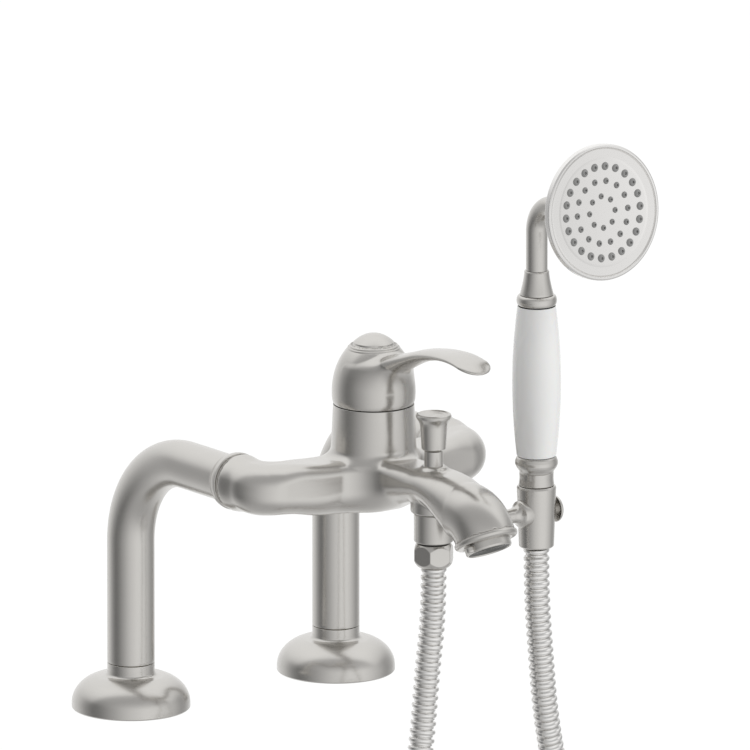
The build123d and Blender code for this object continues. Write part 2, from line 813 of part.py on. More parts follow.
with BuildPart() as diverter_valve:
    turn(
        diverter_plane,
        (diverter_spindle_radius + 0.05, valve_bottom),
        (6.6, valve_bottom),
        (6.6, valve_bottom + 1.2),
        (5.4, valve_bottom + 1.2),
        (5.4, valve_bottom + 2.8),
        (6.6, valve_bottom + 2.8),
        (6.6, valve_bottom + 4.0),
        (diverter_spindle_radius + 0.05, valve_bottom + 4.0),
    )
diverter_valve.part.label = "diverter_valve"
export_step(diverter_valve.part, "parts/diverter_valve.step")

with BuildPart() as diverter_seal:
    ring(diverter_plane, 5.45, diverter_chamber_radius - 0.4, valve_bottom + 1.3, valve_bottom + 2.7)
diverter_seal.part.label = "diverter_seal"
export_step(diverter_seal.part, "parts/diverter_seal.step")

knob_bottom = bush_top + 0.3
knob_top = knob_bottom + knob_height
with BuildPart() as diverter_spindle:
    turn(
        diverter_plane,
        (0, valve_bottom - 0.6),
        (diverter_spindle_radius + 0.8, valve_bottom - 0.6),
        (diverter_spindle_radius + 0.8, valve_bottom - 0.05),
        (diverter_spindle_radius, valve_bottom - 0.05),
        (diverter_spindle_radius, knob_bottom + 12),
        (0, knob_bottom + 12),
    )
diverter_spindle.part.label = "diverter_spindle"
export_step(diverter_spindle.part, "parts/diverter_spindle.step")

with BuildPart() as diverter_knob:
    turn(
        diverter_plane,
        (diverter_spindle_radius + 0.02, knob_bottom),
        (5.4, knob_bottom),
        (6.4, knob_bottom + 0.8),
        (8.1, knob_bottom + knob_height - 7.2),
        (9.0, knob_bottom + knob_height - 4.6),
        (knob_radius, knob_top - 2.4),
        (knob_radius, knob_top - 0.8),
        (knob_radius - 0.8, knob_top),
        (knob_radius - 2.2, knob_top),
        (knob_radius - 4.0, knob_top - 1.2),
        (0, knob_top - 1.6),
        (0, knob_bottom + 12.1),
        (diverter_spindle_radius + 0.02, knob_bottom + 12.1),
    )
diverter_knob.part.label = "diverter_knob"
export_step(diverter_knob.part, "parts/diverter_knob.step")

# Shower outlet: nipple screwed into the boss, through the cradle's eye
eye_top = boss_bottom - joint_gap
eye_bottom = eye_top - eye_height
nut_top_z = eye_bottom - 1.4
nut_bottom = nut_top_z - hose_nut_height
nipple_end = nut_bottom + 2.6
with BuildPart() as outlet_nipple:
    turn(
        diverter_plane,
        (outlet_bore, nipple_end),
        (outlet_thread_radius, nipple_end),
        (outlet_thread_radius, boss_bottom - 0.1),
        (outlet_thread_radius - 0.5, boss_bottom - 0.1),
        (outlet_thread_radius - 0.5, boss_bottom + 2.8),
        (outlet_bore, boss_bottom + 2.8),
    )
outlet_nipple.part.label = "outlet_nipple"
export_step(outlet_nipple.part, "parts/outlet_nipple.step")

with BuildPart() as slip_washer:
    ring(
        diverter_plane,
        outlet_thread_radius + 0.1,
        eye_radius - 1.0,
        nut_top_z + 0.1,
        eye_bottom - 0.1,
    )
slip_washer.part.label = "slip_washer"
export_step(slip_washer.part, "parts/slip_washer.step")

# Cradle: eye ring, rod and the flare that carries the sleeve
rod_height = eye_top - eye_height / 2 - 2.5
sleeve_top = arm_height - sleeve_top_down
sleeve_bottom = sleeve_top - sleeve_height
sleeve_plane = turning_plane((sleeve_offset, -diverter_forward, 0), up)
flare_base = sleeve_offset - sleeve_top_radius
with BuildPart() as cradle_arm:
    turn(
        diverter_plane,
        (outlet_thread_radius + 0.1, eye_bottom),
        (eye_radius - 0.8, eye_bottom),
        (eye_radius, eye_bottom + 0.8),
        (eye_radius, eye_top - 0.6),
        (eye_radius - 0.6, eye_top),
        (outlet_thread_radius + 0.1, eye_top),
    )
    with BuildSketch(
        Plane(origin=(0, -diverter_forward, rod_height), x_dir=(1, 0, 0), z_dir=(0, -1, 0))
    ) as rod_outline:
        with BuildLine():
            Polyline(
                (eye_radius - 1.0, 0),
                (eye_radius - 1.0, rod_radius),
                (flare_base - 9.0, rod_radius),
            )
            ThreePointArc(
                (flare_base - 9.0, rod_radius),
                (flare_base - 3.2, rod_radius + 1.9),
                (flare_base + 0.2, 9.6),
            )
            Polyline(
                (flare_base + 0.2, 9.6),
                (flare_base + 5.0, 10.4),
                (flare_base + 5.0, 0),
                (eye_radius - 1.0, 0),
            )
        make_face()
    revolve(
        rod_outline.sketch, axis=Axis((0, -diverter_forward, rod_height), (1, 0, 0))
    )
    turn(
        sleeve_plane,
        (0, sleeve_bottom - 1),
        (sleeve_bottom_radius + 0.1, sleeve_bottom - 1),
        (sleeve_bottom_radius + 0.1, sleeve_bottom),
        (sleeve_top_radius + 0.1, sleeve_top),
        (0, sleeve_top),
        mode=Mode.SUBTRACT,
    )
cradle_arm.part.label = "cradle_arm"
export_step(cradle_arm.part, "parts/cradle_arm.step")

# Sleeve that takes the hose cone
cone_clearance = 0.35
hose_slack = 1.1
cone_bottom = sleeve_bottom + 6.0
cone_top = sleeve_top - 1.2
with BuildPart() as cradle_sleeve:
    turn(
        sleeve_plane,
        (sleeve_bottom_radius - 1.3, sleeve_bottom),
        (sleeve_bottom_radius - 0.5, sleeve_bottom + 0.7),
        (sleeve_bottom_radius, sleeve_bottom + 2.2),
        (sleeve_top_radius, sleeve_top - 1.0),
        (sleeve_top_radius - 0.7, sleeve_top),
        (cone_top_radius + cone_clearance, sleeve_top),
        (cone_top_radius + cone_clearance, cone_top),
        (cone_bottom_radius + cone_clearance, cone_bottom),
        (hose_crest_radius + hose_slack, cone_bottom - 1.0),
        (hose_crest_radius + hose_slack, sleeve_bottom),
    )
cradle_sleeve.part.label = "cradle_sleeve"
export_step(cradle_sleeve.part, "parts/cradle_sleeve.step")

# Round screw on the far side of the sleeve
screw_axis = Axis((0, -diverter_forward, rod_height), (1, 0, 0))
sleeve_slope = (sleeve_top_radius - sleeve_bottom_radius) / sleeve_height
screw_seat = sleeve_offset + sleeve_bottom_radius + sleeve_slope * (rod_height - sleeve_bottom)
shank_start = screw_seat + 0.15
screw_face = screw_seat + 1.6
with BuildPart() as cradle_screw:
    with BuildSketch(
        Plane(origin=(0, -diverter_forward, rod_height), x_dir=(1, 0, 0), z_dir=(0, -1, 0))
    ) as screw_outline:
        with BuildLine():
            Polyline(
                (screw_face + 3.6, 0),
                (shank_start, 0),
                (shank_start, 4.0),
                (screw_face, 4.0),
                (screw_face, sleeve_screw_radius),
                (screw_face + 1.0, sleeve_screw_radius),
            )
            ThreePointArc(
                (screw_face + 1.0, sleeve_screw_radius),
                (screw_face + 2.7, sleeve_screw_radius * 0.7),
                (screw_face + 3.6, sleeve_screw_radius * 0.25),
            )
            Line((screw_face + 3.6, sleeve_screw_radius * 0.25), (screw_face + 3.6, 0))
        make_face()
    revolve(screw_outline.sketch, axis=screw_axis)
cradle_screw.part.label = "cradle_screw"
export_step(cradle_screw.part, "parts/cradle_screw.step")

# Hexagonal hose nut, its washer and the tail inside the hose
with BuildPart() as hose_nut:
    with BuildSketch(Plane.XY.offset(nut_bottom)):
        with Locations((0, -diverter_forward)):
            RegularPolygon(hose_nut_across_corners / 2, 6, rotation=44.2)
    extrude(amount=hose_nut_height)
    with BuildSketch(diverter_plane) as nut_crown:
        with BuildLine():
            Polyline(
                (0, nut_bottom),
                (hose_nut_across_corners / 2 - 2.4, nut_bottom),
                (hose_nut_across_corners / 2, nut_bottom + 2.6),
                (hose_nut_across_corners / 2, nut_top_z - 2.6),
                (hose_nut_across_corners / 2 - 2.4, nut_top_z),
                (0, nut_top_z),
                close=True,
            )
        make_face()
    revolve(nut_crown.sketch, axis=Axis(diverter_plane.origin, up), mode=Mode.INTERSECT)
    bore(diverter_plane, outlet_thread_radius + 0.05, nut_bottom + 1.2, nut_top_z + 1)
    bore(diverter_plane, hose_bore + 0.1, nut_bottom - 1, nut_bottom + 3)
hose_nut.part.label = "hose_nut"
export_step(hose_nut.part, "parts/hose_nut.step")

with BuildPart() as hose_tail:
    turn(
        diverter_plane,
        (3.2, nut_bottom - 14),
        (hose_bore - 0.1, nut_bottom - 14),
        (hose_bore - 0.1, nut_bottom + 1.3),
        (outlet_thread_radius - 0.3, nut_bottom + 1.3),
        (outlet_thread_radius - 0.3, nut_bottom + 1.8),
        (3.2, nut_bottom + 1.8),
    )
hose_tail.part.label = "hose_tail"
export_step(hose_tail.part, "parts/hose_tail.step")

with BuildPart() as hose_washer:
    ring(
        diverter_plane,
        outlet_bore - 0.8,
        outlet_thread_radius - 0.2,
        nut_bottom + 1.9,
        nipple_end - 0.1,
    )
hose_washer.part.label = "hose_washer"
export_step(hose_washer.part, "parts/hose_washer.step")

# Cone on the hose's handset end, its tail, and the washer under the ferrule
with BuildPart() as hose_cone:
    turn(
        sleeve_plane,
        (hose_bore + 0.1, cone_bottom + 0.3),
        (cone_bottom_radius - 1.0, cone_bottom + 0.3),
        (cone_bottom_radius, cone_bottom + 1.2),
        (cone_top_radius, cone_top),
        (7.2, cone_top),
        (7.2, cone_top - 9.0),
        (hose_bore + 0.1, cone_top - 9.0),
    )
hose_cone.part.label = "hose_cone"
export_step(hose_cone.part, "parts/hose_cone.step")

with BuildPart() as cone_tail:
    turn(
        sleeve_plane,
        (3.2, cone_bottom - 12),
        (hose_bore - 0.1, cone_bottom - 12),
        (hose_bore - 0.1, cone_top - 8.9),
        (6.9, cone_top - 8.9),
        (6.9, cone_top - 8.2),
        (3.2, cone_top - 8.2),
    )
cone_tail.part.label = "cone_tail"
export_step(cone_tail.part, "parts/cone_tail.step")

with BuildPart() as cone_washer:
    ring(sleeve_plane, 4.6, 6.9, cone_top - 8.1, cone_top - 6.8)
cone_washer.part.label = "cone_washer"
export_step(cone_washer.part, "parts/cone_washer.step")

# Hand shower: lower ferrule, with the stud that enters the cone
ferrule_bottom = sleeve_top + 0.4
ferrule_top = ferrule_bottom + lower_ferrule_length
with BuildPart() as lower_ferrule:
    with BuildSketch(sleeve_plane) as ferrule_outline:
        with BuildLine():
            Polyline(
                (grip_tube_radius + 0.1, cone_top - 6.5),
                (6.9, cone_top - 6.5),
                (6.9, ferrule_bottom),
                (9.6, ferrule_bottom),
                (9.95, ferrule_bottom + 0.5),
                (9.75, ferrule_bottom + 4.0),
                (9.95, ferrule_bottom + 8.0),
            )
            ThreePointArc(
                (9.95, ferrule_bottom + 8.0),
                (11.1, ferrule_bottom + 10.2),
                (12.35, ferrule_bottom + 12.4),
            )
            ThreePointArc(
                (12.35, ferrule_bottom + 12.4),
                (12.65, ferrule_bottom + 14.2),
                (11.9, ferrule_top),
            )
            Polyline(
                (11.9, ferrule_top),
                (grip_tube_radius + 0.1, ferrule_top),
                (grip_tube_radius + 0.1, cone_top - 6.5),
            )
        make_face()
    revolve(ferrule_outline.sketch, axis=Axis(sleeve_plane.origin, up))
lower_ferrule.part.label = "lower_ferrule"
export_step(lower_ferrule.part, "parts/lower_ferrule.step")

grip_bottom = ferrule_top + grip_washer + 0.1
grip_top = grip_bottom + grip_length
upper_ring_bottom = grip_top + grip_washer + 0.1
upper_ring_top = upper_ring_bottom + upper_ring_height
upper_ferrule_bottom = upper_ring_top + 0.1
upper_ferrule_top = upper_ferrule_bottom + upper_ferrule_height
with BuildPart() as grip:
    with BuildSketch(sleeve_plane) as grip_outline:
        with BuildLine():
            Line((grip_bore, grip_bottom), (grip_end_radius, grip_bottom))
            ThreePointArc(
                (grip_end_radius, grip_bottom),
                (grip_middle_radius, grip_bottom + grip_length * 0.49),
                (grip_end_radius, grip_top),
            )
            Polyline(
                (grip_end_radius, grip_top),
                (grip_bore, grip_top),
                (grip_bore, grip_bottom),
            )
        make_face()
    revolve(grip_outline.sketch, axis=Axis(sleeve_plane.origin, up))
grip.part.label = "grip"
export_step(grip.part, "parts/grip.step")

with BuildPart() as grip_washers:
    for start in (ferrule_top + 0.05, grip_top + 0.05):
        ring(sleeve_plane, grip_bore, grip_end_radius - 0.5, start, start + grip_washer)
grip_washers.part.label = "grip_washers"
export_step(grip_washers.part, "parts/grip_washers.step")

with BuildPart() as grip_tube:
    ring(
        sleeve_plane,
        grip_tube_bore,
        grip_tube_radius,
        cone_top - 6.5,
        upper_ferrule_bottom + 5,
    )
grip_tube.part.label = "grip_tube"
export_step(grip_tube.part, "parts/grip_tube.step")

with BuildPart() as upper_ring:
    with BuildSketch(sleeve_plane) as upper_ring_outline:
        with BuildLine():
            Polyline(
                (grip_end_radius - 0.8, upper_ring_top),
                (grip_tube_radius + 0.1, upper_ring_top),
                (grip_tube_radius + 0.1, upper_ring_bottom),
                (grip_end_radius - 0.8, upper_ring_bottom),
            )
            ThreePointArc(
                (grip_end_radius - 0.8, upper_ring_bottom),
                (grip_end_radius + 0.3, (upper_ring_bottom + upper_ring_top) / 2),
                (grip_end_radius - 0.8, upper_ring_top),
            )
        make_face()
    revolve(upper_ring_outline.sketch, axis=Axis(sleeve_plane.origin, up))
upper_ring.part.label = "upper_ring"
export_step(upper_ring.part, "parts/upper_ring.step")

with BuildPart() as upper_ferrule:
    with BuildSketch(sleeve_plane) as upper_ferrule_outline:
        with BuildLine():
            Polyline(
                (neck_radius + 0.15, upper_ferrule_top),
                (neck_radius - 1.2, upper_ferrule_top),
                (neck_radius - 1.2, upper_ferrule_bottom + 5.2),
                (grip_tube_radius + 0.1, upper_ferrule_bottom + 5.2),
                (grip_tube_radius + 0.1, upper_ferrule_bottom),
                (9.65, upper_ferrule_bottom),
            )
            ThreePointArc(
                (9.65, upper_ferrule_bottom),
                (7.7, upper_ferrule_bottom + upper_ferrule_height * 0.52),
                (neck_radius + 0.15, upper_ferrule_top),
            )
        make_face()
    revolve(upper_ferrule_outline.sketch, axis=Axis(sleeve_plane.origin, up))
upper_ferrule.part.label = "upper_ferrule"
export_step(upper_ferrule.part, "parts/upper_ferrule.step")

# Bent neck from the upper ferrule to the rose
tilt = math.radians(rose_tilt)
rose_dir = Vector(0, -math.cos(tilt), math.sin(tilt))
neck_bottom = upper_ferrule_top + 0.1
neck_corner = Vector(sleeve_offset, -diverter_forward, upper_ferrule_top + neck_rise)
rose_face_centre = neck_corner + rose_dir * (rose_forward / math.cos(tilt))
rose_plane = turning_plane(rose_face_centre, -rose_dir)
rose_depth = 13.0
neck_end = rose_face_centre - rose_dir * (rose_depth - 3.0)
with BuildPart() as neck:
    with BuildLine() as neck_path:
        FilletPolyline(
            (sleeve_offset, -diverter_forward, neck_bottom),
            neck_corner,
            neck_end,
            radius=neck_bend_radius,
        )
    with BuildSketch(Plane.XY.offset(neck_bottom)):
        with Locations((sleeve_offset, -diverter_forward)):
            Circle(neck_radius)
            Circle(neck_bore, mode=Mode.SUBTRACT)
    sweep()
neck.part.label = "neck"
export_step(neck.part, "parts/neck.step")

# Rose: a shallow shell with a hub behind, and the perforated face let into its rim
face_back = 2.6
with BuildPart() as rose_shell:
    turn(
        rose_plane,
        (rose_radius - 1.8, 0.0),
        (rose_radius - 0.6, 0.0),
        (rose_radius, 0.7),
        (rose_radius, rose_rim - 0.9),
        (rose_radius - 0.8, rose_rim),
        (rose_radius - 10.0, rose_rim + 2.0),
        (rose_hub_radius + 6.0, rose_rim + 3.6),
        (rose_hub_radius, rose_rim + 5.2),
        (neck_radius + 1.9, rose_depth),
        (neck_radius + 0.1, rose_depth),
        (neck_radius + 0.1, rose_depth - 4.0),
        (neck_bore, rose_depth - 4.0),
        (neck_bore, rose_rim + 3.2),
        (rose_hub_radius + 5.0, rose_rim + 1.8),
        (rose_radius - 10.0, rose_rim + 0.4),
        (rose_radius - 2.6, face_back + 0.5),
        (rose_radius - 2.6, 1.0),
        (rose_radius - 1.8, 1.0),
    )
rose_shell.part.label = "rose_shell"
export_step(rose_shell.part, "parts/rose_shell.step")

face_radius = rose_radius - 2.8
face_front = 1.1
mat_front = face_front + 1.1
mat_back = mat_front + 0.7
nozzle_plane = Plane(origin=rose_face_centre, x_dir=(1, 0, 0), z_dir=rose_dir)
with BuildPart() as rose_face:
    ring(rose_plane, 0, face_radius, face_front, mat_front - 0.05)
    with BuildSketch(nozzle_plane.offset(-face_front - 3)) as face_holes:
        for count, ring_radius, hole_radius in nozzle_rings:
            with PolarLocations(ring_radius, count):
                Circle(hole_radius)
    extrude(face_holes.sketch, amount=5, mode=Mode.SUBTRACT)
rose_face.part.label = "rose_face"
export_step(rose_face.part, "parts/rose_face.step")

with BuildPart() as nozzle_mat:
    ring(rose_plane, 0, face_radius - 3.5, mat_front, mat_back)
    with BuildSketch(nozzle_plane.offset(-mat_front - 0.2)) as nubs:
        for count, ring_radius, hole_radius in nozzle_rings:
            with PolarLocations(ring_radius, count):
                Circle(hole_radius - 0.6)
    extrude(nubs.sketch, amount=1.4)
    with BuildSketch(nozzle_plane.offset(-mat_back - 0.2)) as jet_holes:
        for count, ring_radius, hole_radius in nozzle_rings:
            with PolarLocations(ring_radius, count):
                Circle(0.5)
    extrude(jet_holes.sketch, amount=4, mode=Mode.SUBTRACT)
nozzle_mat.part.label = "nozzle_mat"
export_step(nozzle_mat.part, "parts/nozzle_mat.step")

with BuildPart() as rose_gasket:
    ring(rose_plane, face_radius - 3.3, face_radius - 0.1, mat_front, face_back + 0.4)
rose_gasket.part.label = "rose_gasket"
export_step(rose_gasket.part, "parts/rose_gasket.step")

# Hose. The two visible stretches are ribbed, and the rest is wound into a hanging coil whose
# two layers lie side by side. The coil winds in, climbs to the second layer and winds out.
hose_line = -diverter_forward
layer_shift = coil_spacing / 2
coil_middle = (coil_start_angle + coil_end_angle) / 2


def coil_point(angle):
    """Centre of the wound tube at an angle in degrees."""
    turns_from_end = (abs(coil_start_angle - coil_middle) - abs(angle - coil_middle)) / 360
    radius = coil_radius - coil_spacing * turns_from_end
    climb = min(max((angle - coil_middle + 90) / 180, 0), 1)
    shift = -layer_shift + coil_spacing * (1 - math.cos(math.pi * climb)) / 2
    theta = math.radians(angle)
    return Vector(
        coil_centre[0] + radius * math.cos(theta),
        hose_line + shift,
        coil_centre[1] + radius * math.sin(theta),
    )


def coil_tangent(angle):
    """Direction of the wound tube at an angle in degrees."""
    step = 0.01
    return (coil_point(angle + step) - coil_point(angle - step)).normalized()


def biarc_joint(start, start_dir, end, end_dir):
    """Point where two tangent arcs meet between two ends with given directions."""
    chord = end - start
    total = start_dir + end_dir
    bend_share = 2 * (1 - start_dir.dot(end_dir))
    along = chord.dot(total)
    reach = (math.sqrt(along**2 + bend_share * chord.dot(chord)) - along) / bend_share
    return (start + end + (start_dir - end_dir) * reach) / 2


coil_steps = 12
coil_angles = [
    coil_start_angle + (coil_end_angle - coil_start_angle) * step / coil_steps
    for step in range(coil_steps + 1)
]
coil_entry = coil_point(coil_start_angle) - coil_tangent(coil_start_angle) * coil_lead
coil_exit = coil_point(coil_end_angle) + coil_tangent(coil_end_angle) * coil_lead

with BuildPart() as hose_coil:
    with BuildLine() as coil_path:
        Line(coil_entry, coil_point(coil_start_angle))
        for first, second in zip(coil_angles[:-1], coil_angles[1:]):
            start, end = coil_point(first), coil_point(second)
            start_dir, end_dir = coil_tangent(first), coil_tangent(second)
            joint = biarc_joint(start, start_dir, end, end_dir)
            TangentArc(start, joint, tangent=start_dir)
            TangentArc(end, joint, tangent=-end_dir)
        Line(coil_point(coil_end_angle), coil_exit)
    with BuildSketch(Plane(origin=coil_entry, z_dir=coil_tangent(coil_start_angle))):
        Circle(hose_crest_radius)
        Circle(hose_bore, mode=Mode.SUBTRACT)
    sweep(path=coil_path.wires()[0])
hose_coil.part.label = "hose_coil"
export_step(hose_coil.part, "parts/hose_coil.step")
coil_length = coil_path.wires()[0].length
tube_section = math.pi * (hose_crest_radius**2 - hose_bore**2)
print("coil length", round(coil_length, 1), "volume ratio",
      round(hose_coil.part.volume / (tube_section * coil_length), 4))

# Least gap between turns, on points a few millimetres apart
coil_samples = [
    coil_point(coil_start_angle + (coil_end_angle - coil_start_angle) * step / 400)
    for step in range(401)
]
least_gap = min(
    (coil_samples[i] - coil_samples[j]).length - 2 * hose_crest_radius
    for i in range(401)
    for j in range(i + 60, 401)
)
print("coil least gap to itself", round(least_gap, 2))

# Routes of the two visible stretches, chosen from the photograph down to the coil
last_run = 50.0
supply_route = (
    (0.0, hose_line, nut_bottom),
    (0.0, hose_line, 86.0),
    (-4.6, hose_line, 52.0),
    (-9.4, hose_line - 1.0, 8.0),
    tuple(coil_entry - coil_tangent(coil_start_angle) * last_run),
    tuple(coil_entry),
)
handset_route = (
    (sleeve_offset, hose_line, cone_bottom + 0.3),
    (sleeve_offset, hose_line, 88.0),
    (78.0, hose_line, 52.0),
    (82.6, hose_line + 1.0, 11.0),
    tuple(coil_exit + coil_tangent(coil_end_angle) * last_run),
    tuple(coil_exit),
)


def route_radii(route):
    """Radius of each arc along a route: 0.45 of the shorter run over tan of half the turn."""
    points = [Vector(*point) for point in route]
    runs = [second - first for first, second in zip(points[:-1], points[1:])]
    radii = []
    for before, after in zip(runs[:-1], runs[1:]):
        half_turn = math.radians(before.get_angle(after)) / 2
        radii.append(0.45 * min(before.length, after.length) / math.tan(half_turn))
    return radii


def ribbed_stations(path):
    """Share along the path and radius of every circle of the ribbed tube.

    The first and last diameter of the tube is plain, and each rib between has a narrow
    groove before its crest: two root circles, then two crest circles.
    """
    length = path.length
    plain = 2 * hose_crest_radius
    ribs = int((length - 2 * plain) / rib_pitch)
    start = (length - ribs * rib_pitch) / 2
    stations = [(0.0, hose_crest_radius)]
    for rib in range(ribs):
        foot = start + rib * rib_pitch
        stations.append((foot, hose_crest_radius))
        stations.append((foot + rib_groove * 0.4, hose_root_radius))
        stations.append((foot + rib_groove * 0.8, hose_root_radius))
        stations.append((foot + rib_groove * 1.2, hose_crest_radius))
    stations.append((length, hose_crest_radius))
    return [(distance / length, radius) for distance, radius in stations]


hose_parts = {}
for name, route in (("hose_supply_run", supply_route), ("hose_handset_run", handset_route)):
    radii = route_radii(route)
    print(name, "arc radii", [round(radius, 1) for radius in radii])
    with BuildLine() as route_line:
        FilletPolyline(*route, radius=radii)
    route_wire = route_line.wires()[0]
    with BuildPart() as hose_run:
        for share, radius in ribbed_stations(route_wire):
            along = route_wire % share
            across = (Vector(0, 1, 0) - along * along.Y).normalized()
            with BuildSketch(Plane(origin=route_wire @ share, x_dir=across, z_dir=along)):
                Circle(radius)
        loft(ruled=True)
        with BuildSketch(Plane(origin=route_wire @ 0, z_dir=route_wire % 0)) as bore_section:
            Circle(hose_bore)
        sweep(bore_section.sketch, path=route_wire, mode=Mode.SUBTRACT)
    hose_run.part.label = name
    export_step(hose_run.part, f"parts/{name}.step")
    print(name, "length", round(route_wire.length, 1), "ribs",
          len(ribbed_stations(route_wire)) // 4)
    hose_parts[name] = route_wire.length
print("hose length", round(sum(hose_parts.values()) + coil_length, 1))

# Strap that ties the coil at its lowest point
tie_angle = 270.0
tie_points = [coil_point(tie_angle + 360 * turn_number) for turn_number in range(3)]
tie_plane = Plane(origin=(coil_centre[0], 0, 0), x_dir=(0, 1, 0), z_dir=(1, 0, 0))
with BuildPart() as coil_tie:
    with BuildSketch(tie_plane) as tie_outside:
        with Locations(*[(point.Y, point.Z) for point in tie_points]):
            Circle(hose_crest_radius + tie_gap + tie_thickness)
        make_hull()
    extrude(tie_outside.sketch, amount=tie_width / 2, both=True)
    with BuildSketch(tie_plane) as tie_inside:
        with Locations(*[(point.Y, point.Z) for point in tie_points]):
            Circle(hose_crest_radius + tie_gap)
        make_hull()
    extrude(tie_inside.sketch, amount=tie_width / 2 + 1, both=True, mode=Mode.SUBTRACT)
coil_tie.part.label = "coil_tie"
export_step(coil_tie.part, "parts/coil_tie.step")
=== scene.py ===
"""Bath mixer with a hand shower: its finished surfaces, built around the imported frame.

Sizes are in millimetres in the row frame. The origin lies on the deck midway between the two
inlets, +X runs to the right along them, the bather is on the -Y side and +Z is up.
"""

import logging
import math
from dataclasses import dataclass
from enum import Enum
from typing import Callable, Sequence

import bpy
import numpy as np
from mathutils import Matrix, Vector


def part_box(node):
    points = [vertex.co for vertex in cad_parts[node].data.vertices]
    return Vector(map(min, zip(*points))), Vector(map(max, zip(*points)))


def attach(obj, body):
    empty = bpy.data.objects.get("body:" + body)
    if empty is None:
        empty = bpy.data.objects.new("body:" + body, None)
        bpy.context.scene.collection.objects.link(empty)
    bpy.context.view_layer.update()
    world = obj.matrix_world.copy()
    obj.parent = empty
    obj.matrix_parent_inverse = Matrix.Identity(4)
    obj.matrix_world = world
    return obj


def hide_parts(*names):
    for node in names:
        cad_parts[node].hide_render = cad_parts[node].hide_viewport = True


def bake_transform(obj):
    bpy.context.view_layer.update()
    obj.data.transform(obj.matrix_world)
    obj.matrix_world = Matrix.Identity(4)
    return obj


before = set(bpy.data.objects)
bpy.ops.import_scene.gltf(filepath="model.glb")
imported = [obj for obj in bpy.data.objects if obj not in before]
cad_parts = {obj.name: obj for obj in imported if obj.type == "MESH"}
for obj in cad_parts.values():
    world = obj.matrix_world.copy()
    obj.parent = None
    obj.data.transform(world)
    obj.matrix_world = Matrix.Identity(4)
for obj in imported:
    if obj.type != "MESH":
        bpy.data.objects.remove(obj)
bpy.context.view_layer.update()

import openvdb
from mathutils import Vector

MM = 0.001
LOG = logging.getLogger("bath_mixer")
Array = np.ndarray
Corner = tuple[float, ...]
Piece = bpy.types.Object
Socket = bpy.types.NodeSocket
UP = (0.0, 0.0, 1.0)
RIGHT = (1.0, 0.0, 0.0)
AHEAD = (0.0, -1.0, 0.0)


class Body(Enum):
    """The bodies that pieces ride on."""

    MIXER = "mixer"
    LEVER = "lever"
    DIVERTER = "diverter"
    HOSE_END = "hose_end"
    HANDSET = "handset"


class Slot(Enum):
    """The finishes of the record."""

    NICKEL = "satin_nickel"
    HOSE = "polished_hose"
    CERAMIC = "glazed_ceramic"
    BRASS = "turned_brass"
    RUBBER = "black_rubber"
    PLASTIC = "moulded_plastic"
    DISC = "disc_ceramic"
    STEEL = "plain_steel"
    NOZZLE = "nozzle_rubber"
    TIE = "tie_plastic"


# Finishes


class Tree:
    """The node tree of a material or a world, with short ways to add to it."""

    def __init__(self, owner: bpy.types.Material | bpy.types.World) -> None:
        """Switch the owner's nodes on."""
        owner.use_nodes = True
        self.nodes = owner.node_tree.nodes
        self.links = owner.node_tree.links

    def feed(self, node: bpy.types.Node | str, inputs: dict) -> None:
        """Set inputs of a node.

        Args:
            node: the node, or its name.
            inputs: a socket to link or a value to set, by the input's name or number.
        """
        node = self.nodes[node] if isinstance(node, str) else node
        for name, value in inputs.items():
            if isinstance(value, Socket):
                self.links.new(value, node.inputs[name])
            else:
                node.inputs[name].default_value = value

    def add(self, kind: str, inputs: dict, output: int | str = 0, **settings: str) -> Socket:
        """Add a shader node.

        Args:
            kind: its type without the leading ShaderNode.
            inputs: as for feed.
            output: name or number of the wanted output.
            settings: properties of the node.

        Returns:
            The wanted output.
        """
        node = self.nodes.new("ShaderNode" + kind)
        for name, value in settings.items():
            setattr(node, name, value)
        self.feed(node, inputs)
        return node.outputs[output]

    def math(self, operation: str, first: Socket, second: Socket | float) -> Socket:
        """Add one arithmetic node and give its result."""
        return self.add("Math", {0: first, 1: second}, operation=operation)

    def ramp(
        self, angle: Socket, circle: int, most: float, stops: Sequence[tuple[float, float]]
    ) -> Socket:
        """Add a ramp of grey levels over an angle.

        Args:
            angle: the angle in radians.
            circle: degrees that the ramp covers, half of them below 0.
            most: the level that is 1 on the ramp.
            stops: (degrees, level) pairs in order.

        Returns:
            The level's colour.
        """
        share = self.math("MULTIPLY", angle, 180 / circle / math.pi)
        share = self.math("ADD", share, 0.5)
        node = self.nodes.new("ShaderNodeValToRGB")
        elements = node.color_ramp.elements
        elements.remove(elements[-1])
        for number, (degrees, level) in enumerate(stops):
            place = (degrees + circle / 2) / circle
            stop = elements[0] if number == 0 else elements.new(place)
            stop.position = place
            stop.color = (level / most, level / most, level / most, 1)
        self.feed(node, {0: share})
        return node.outputs["Color"]


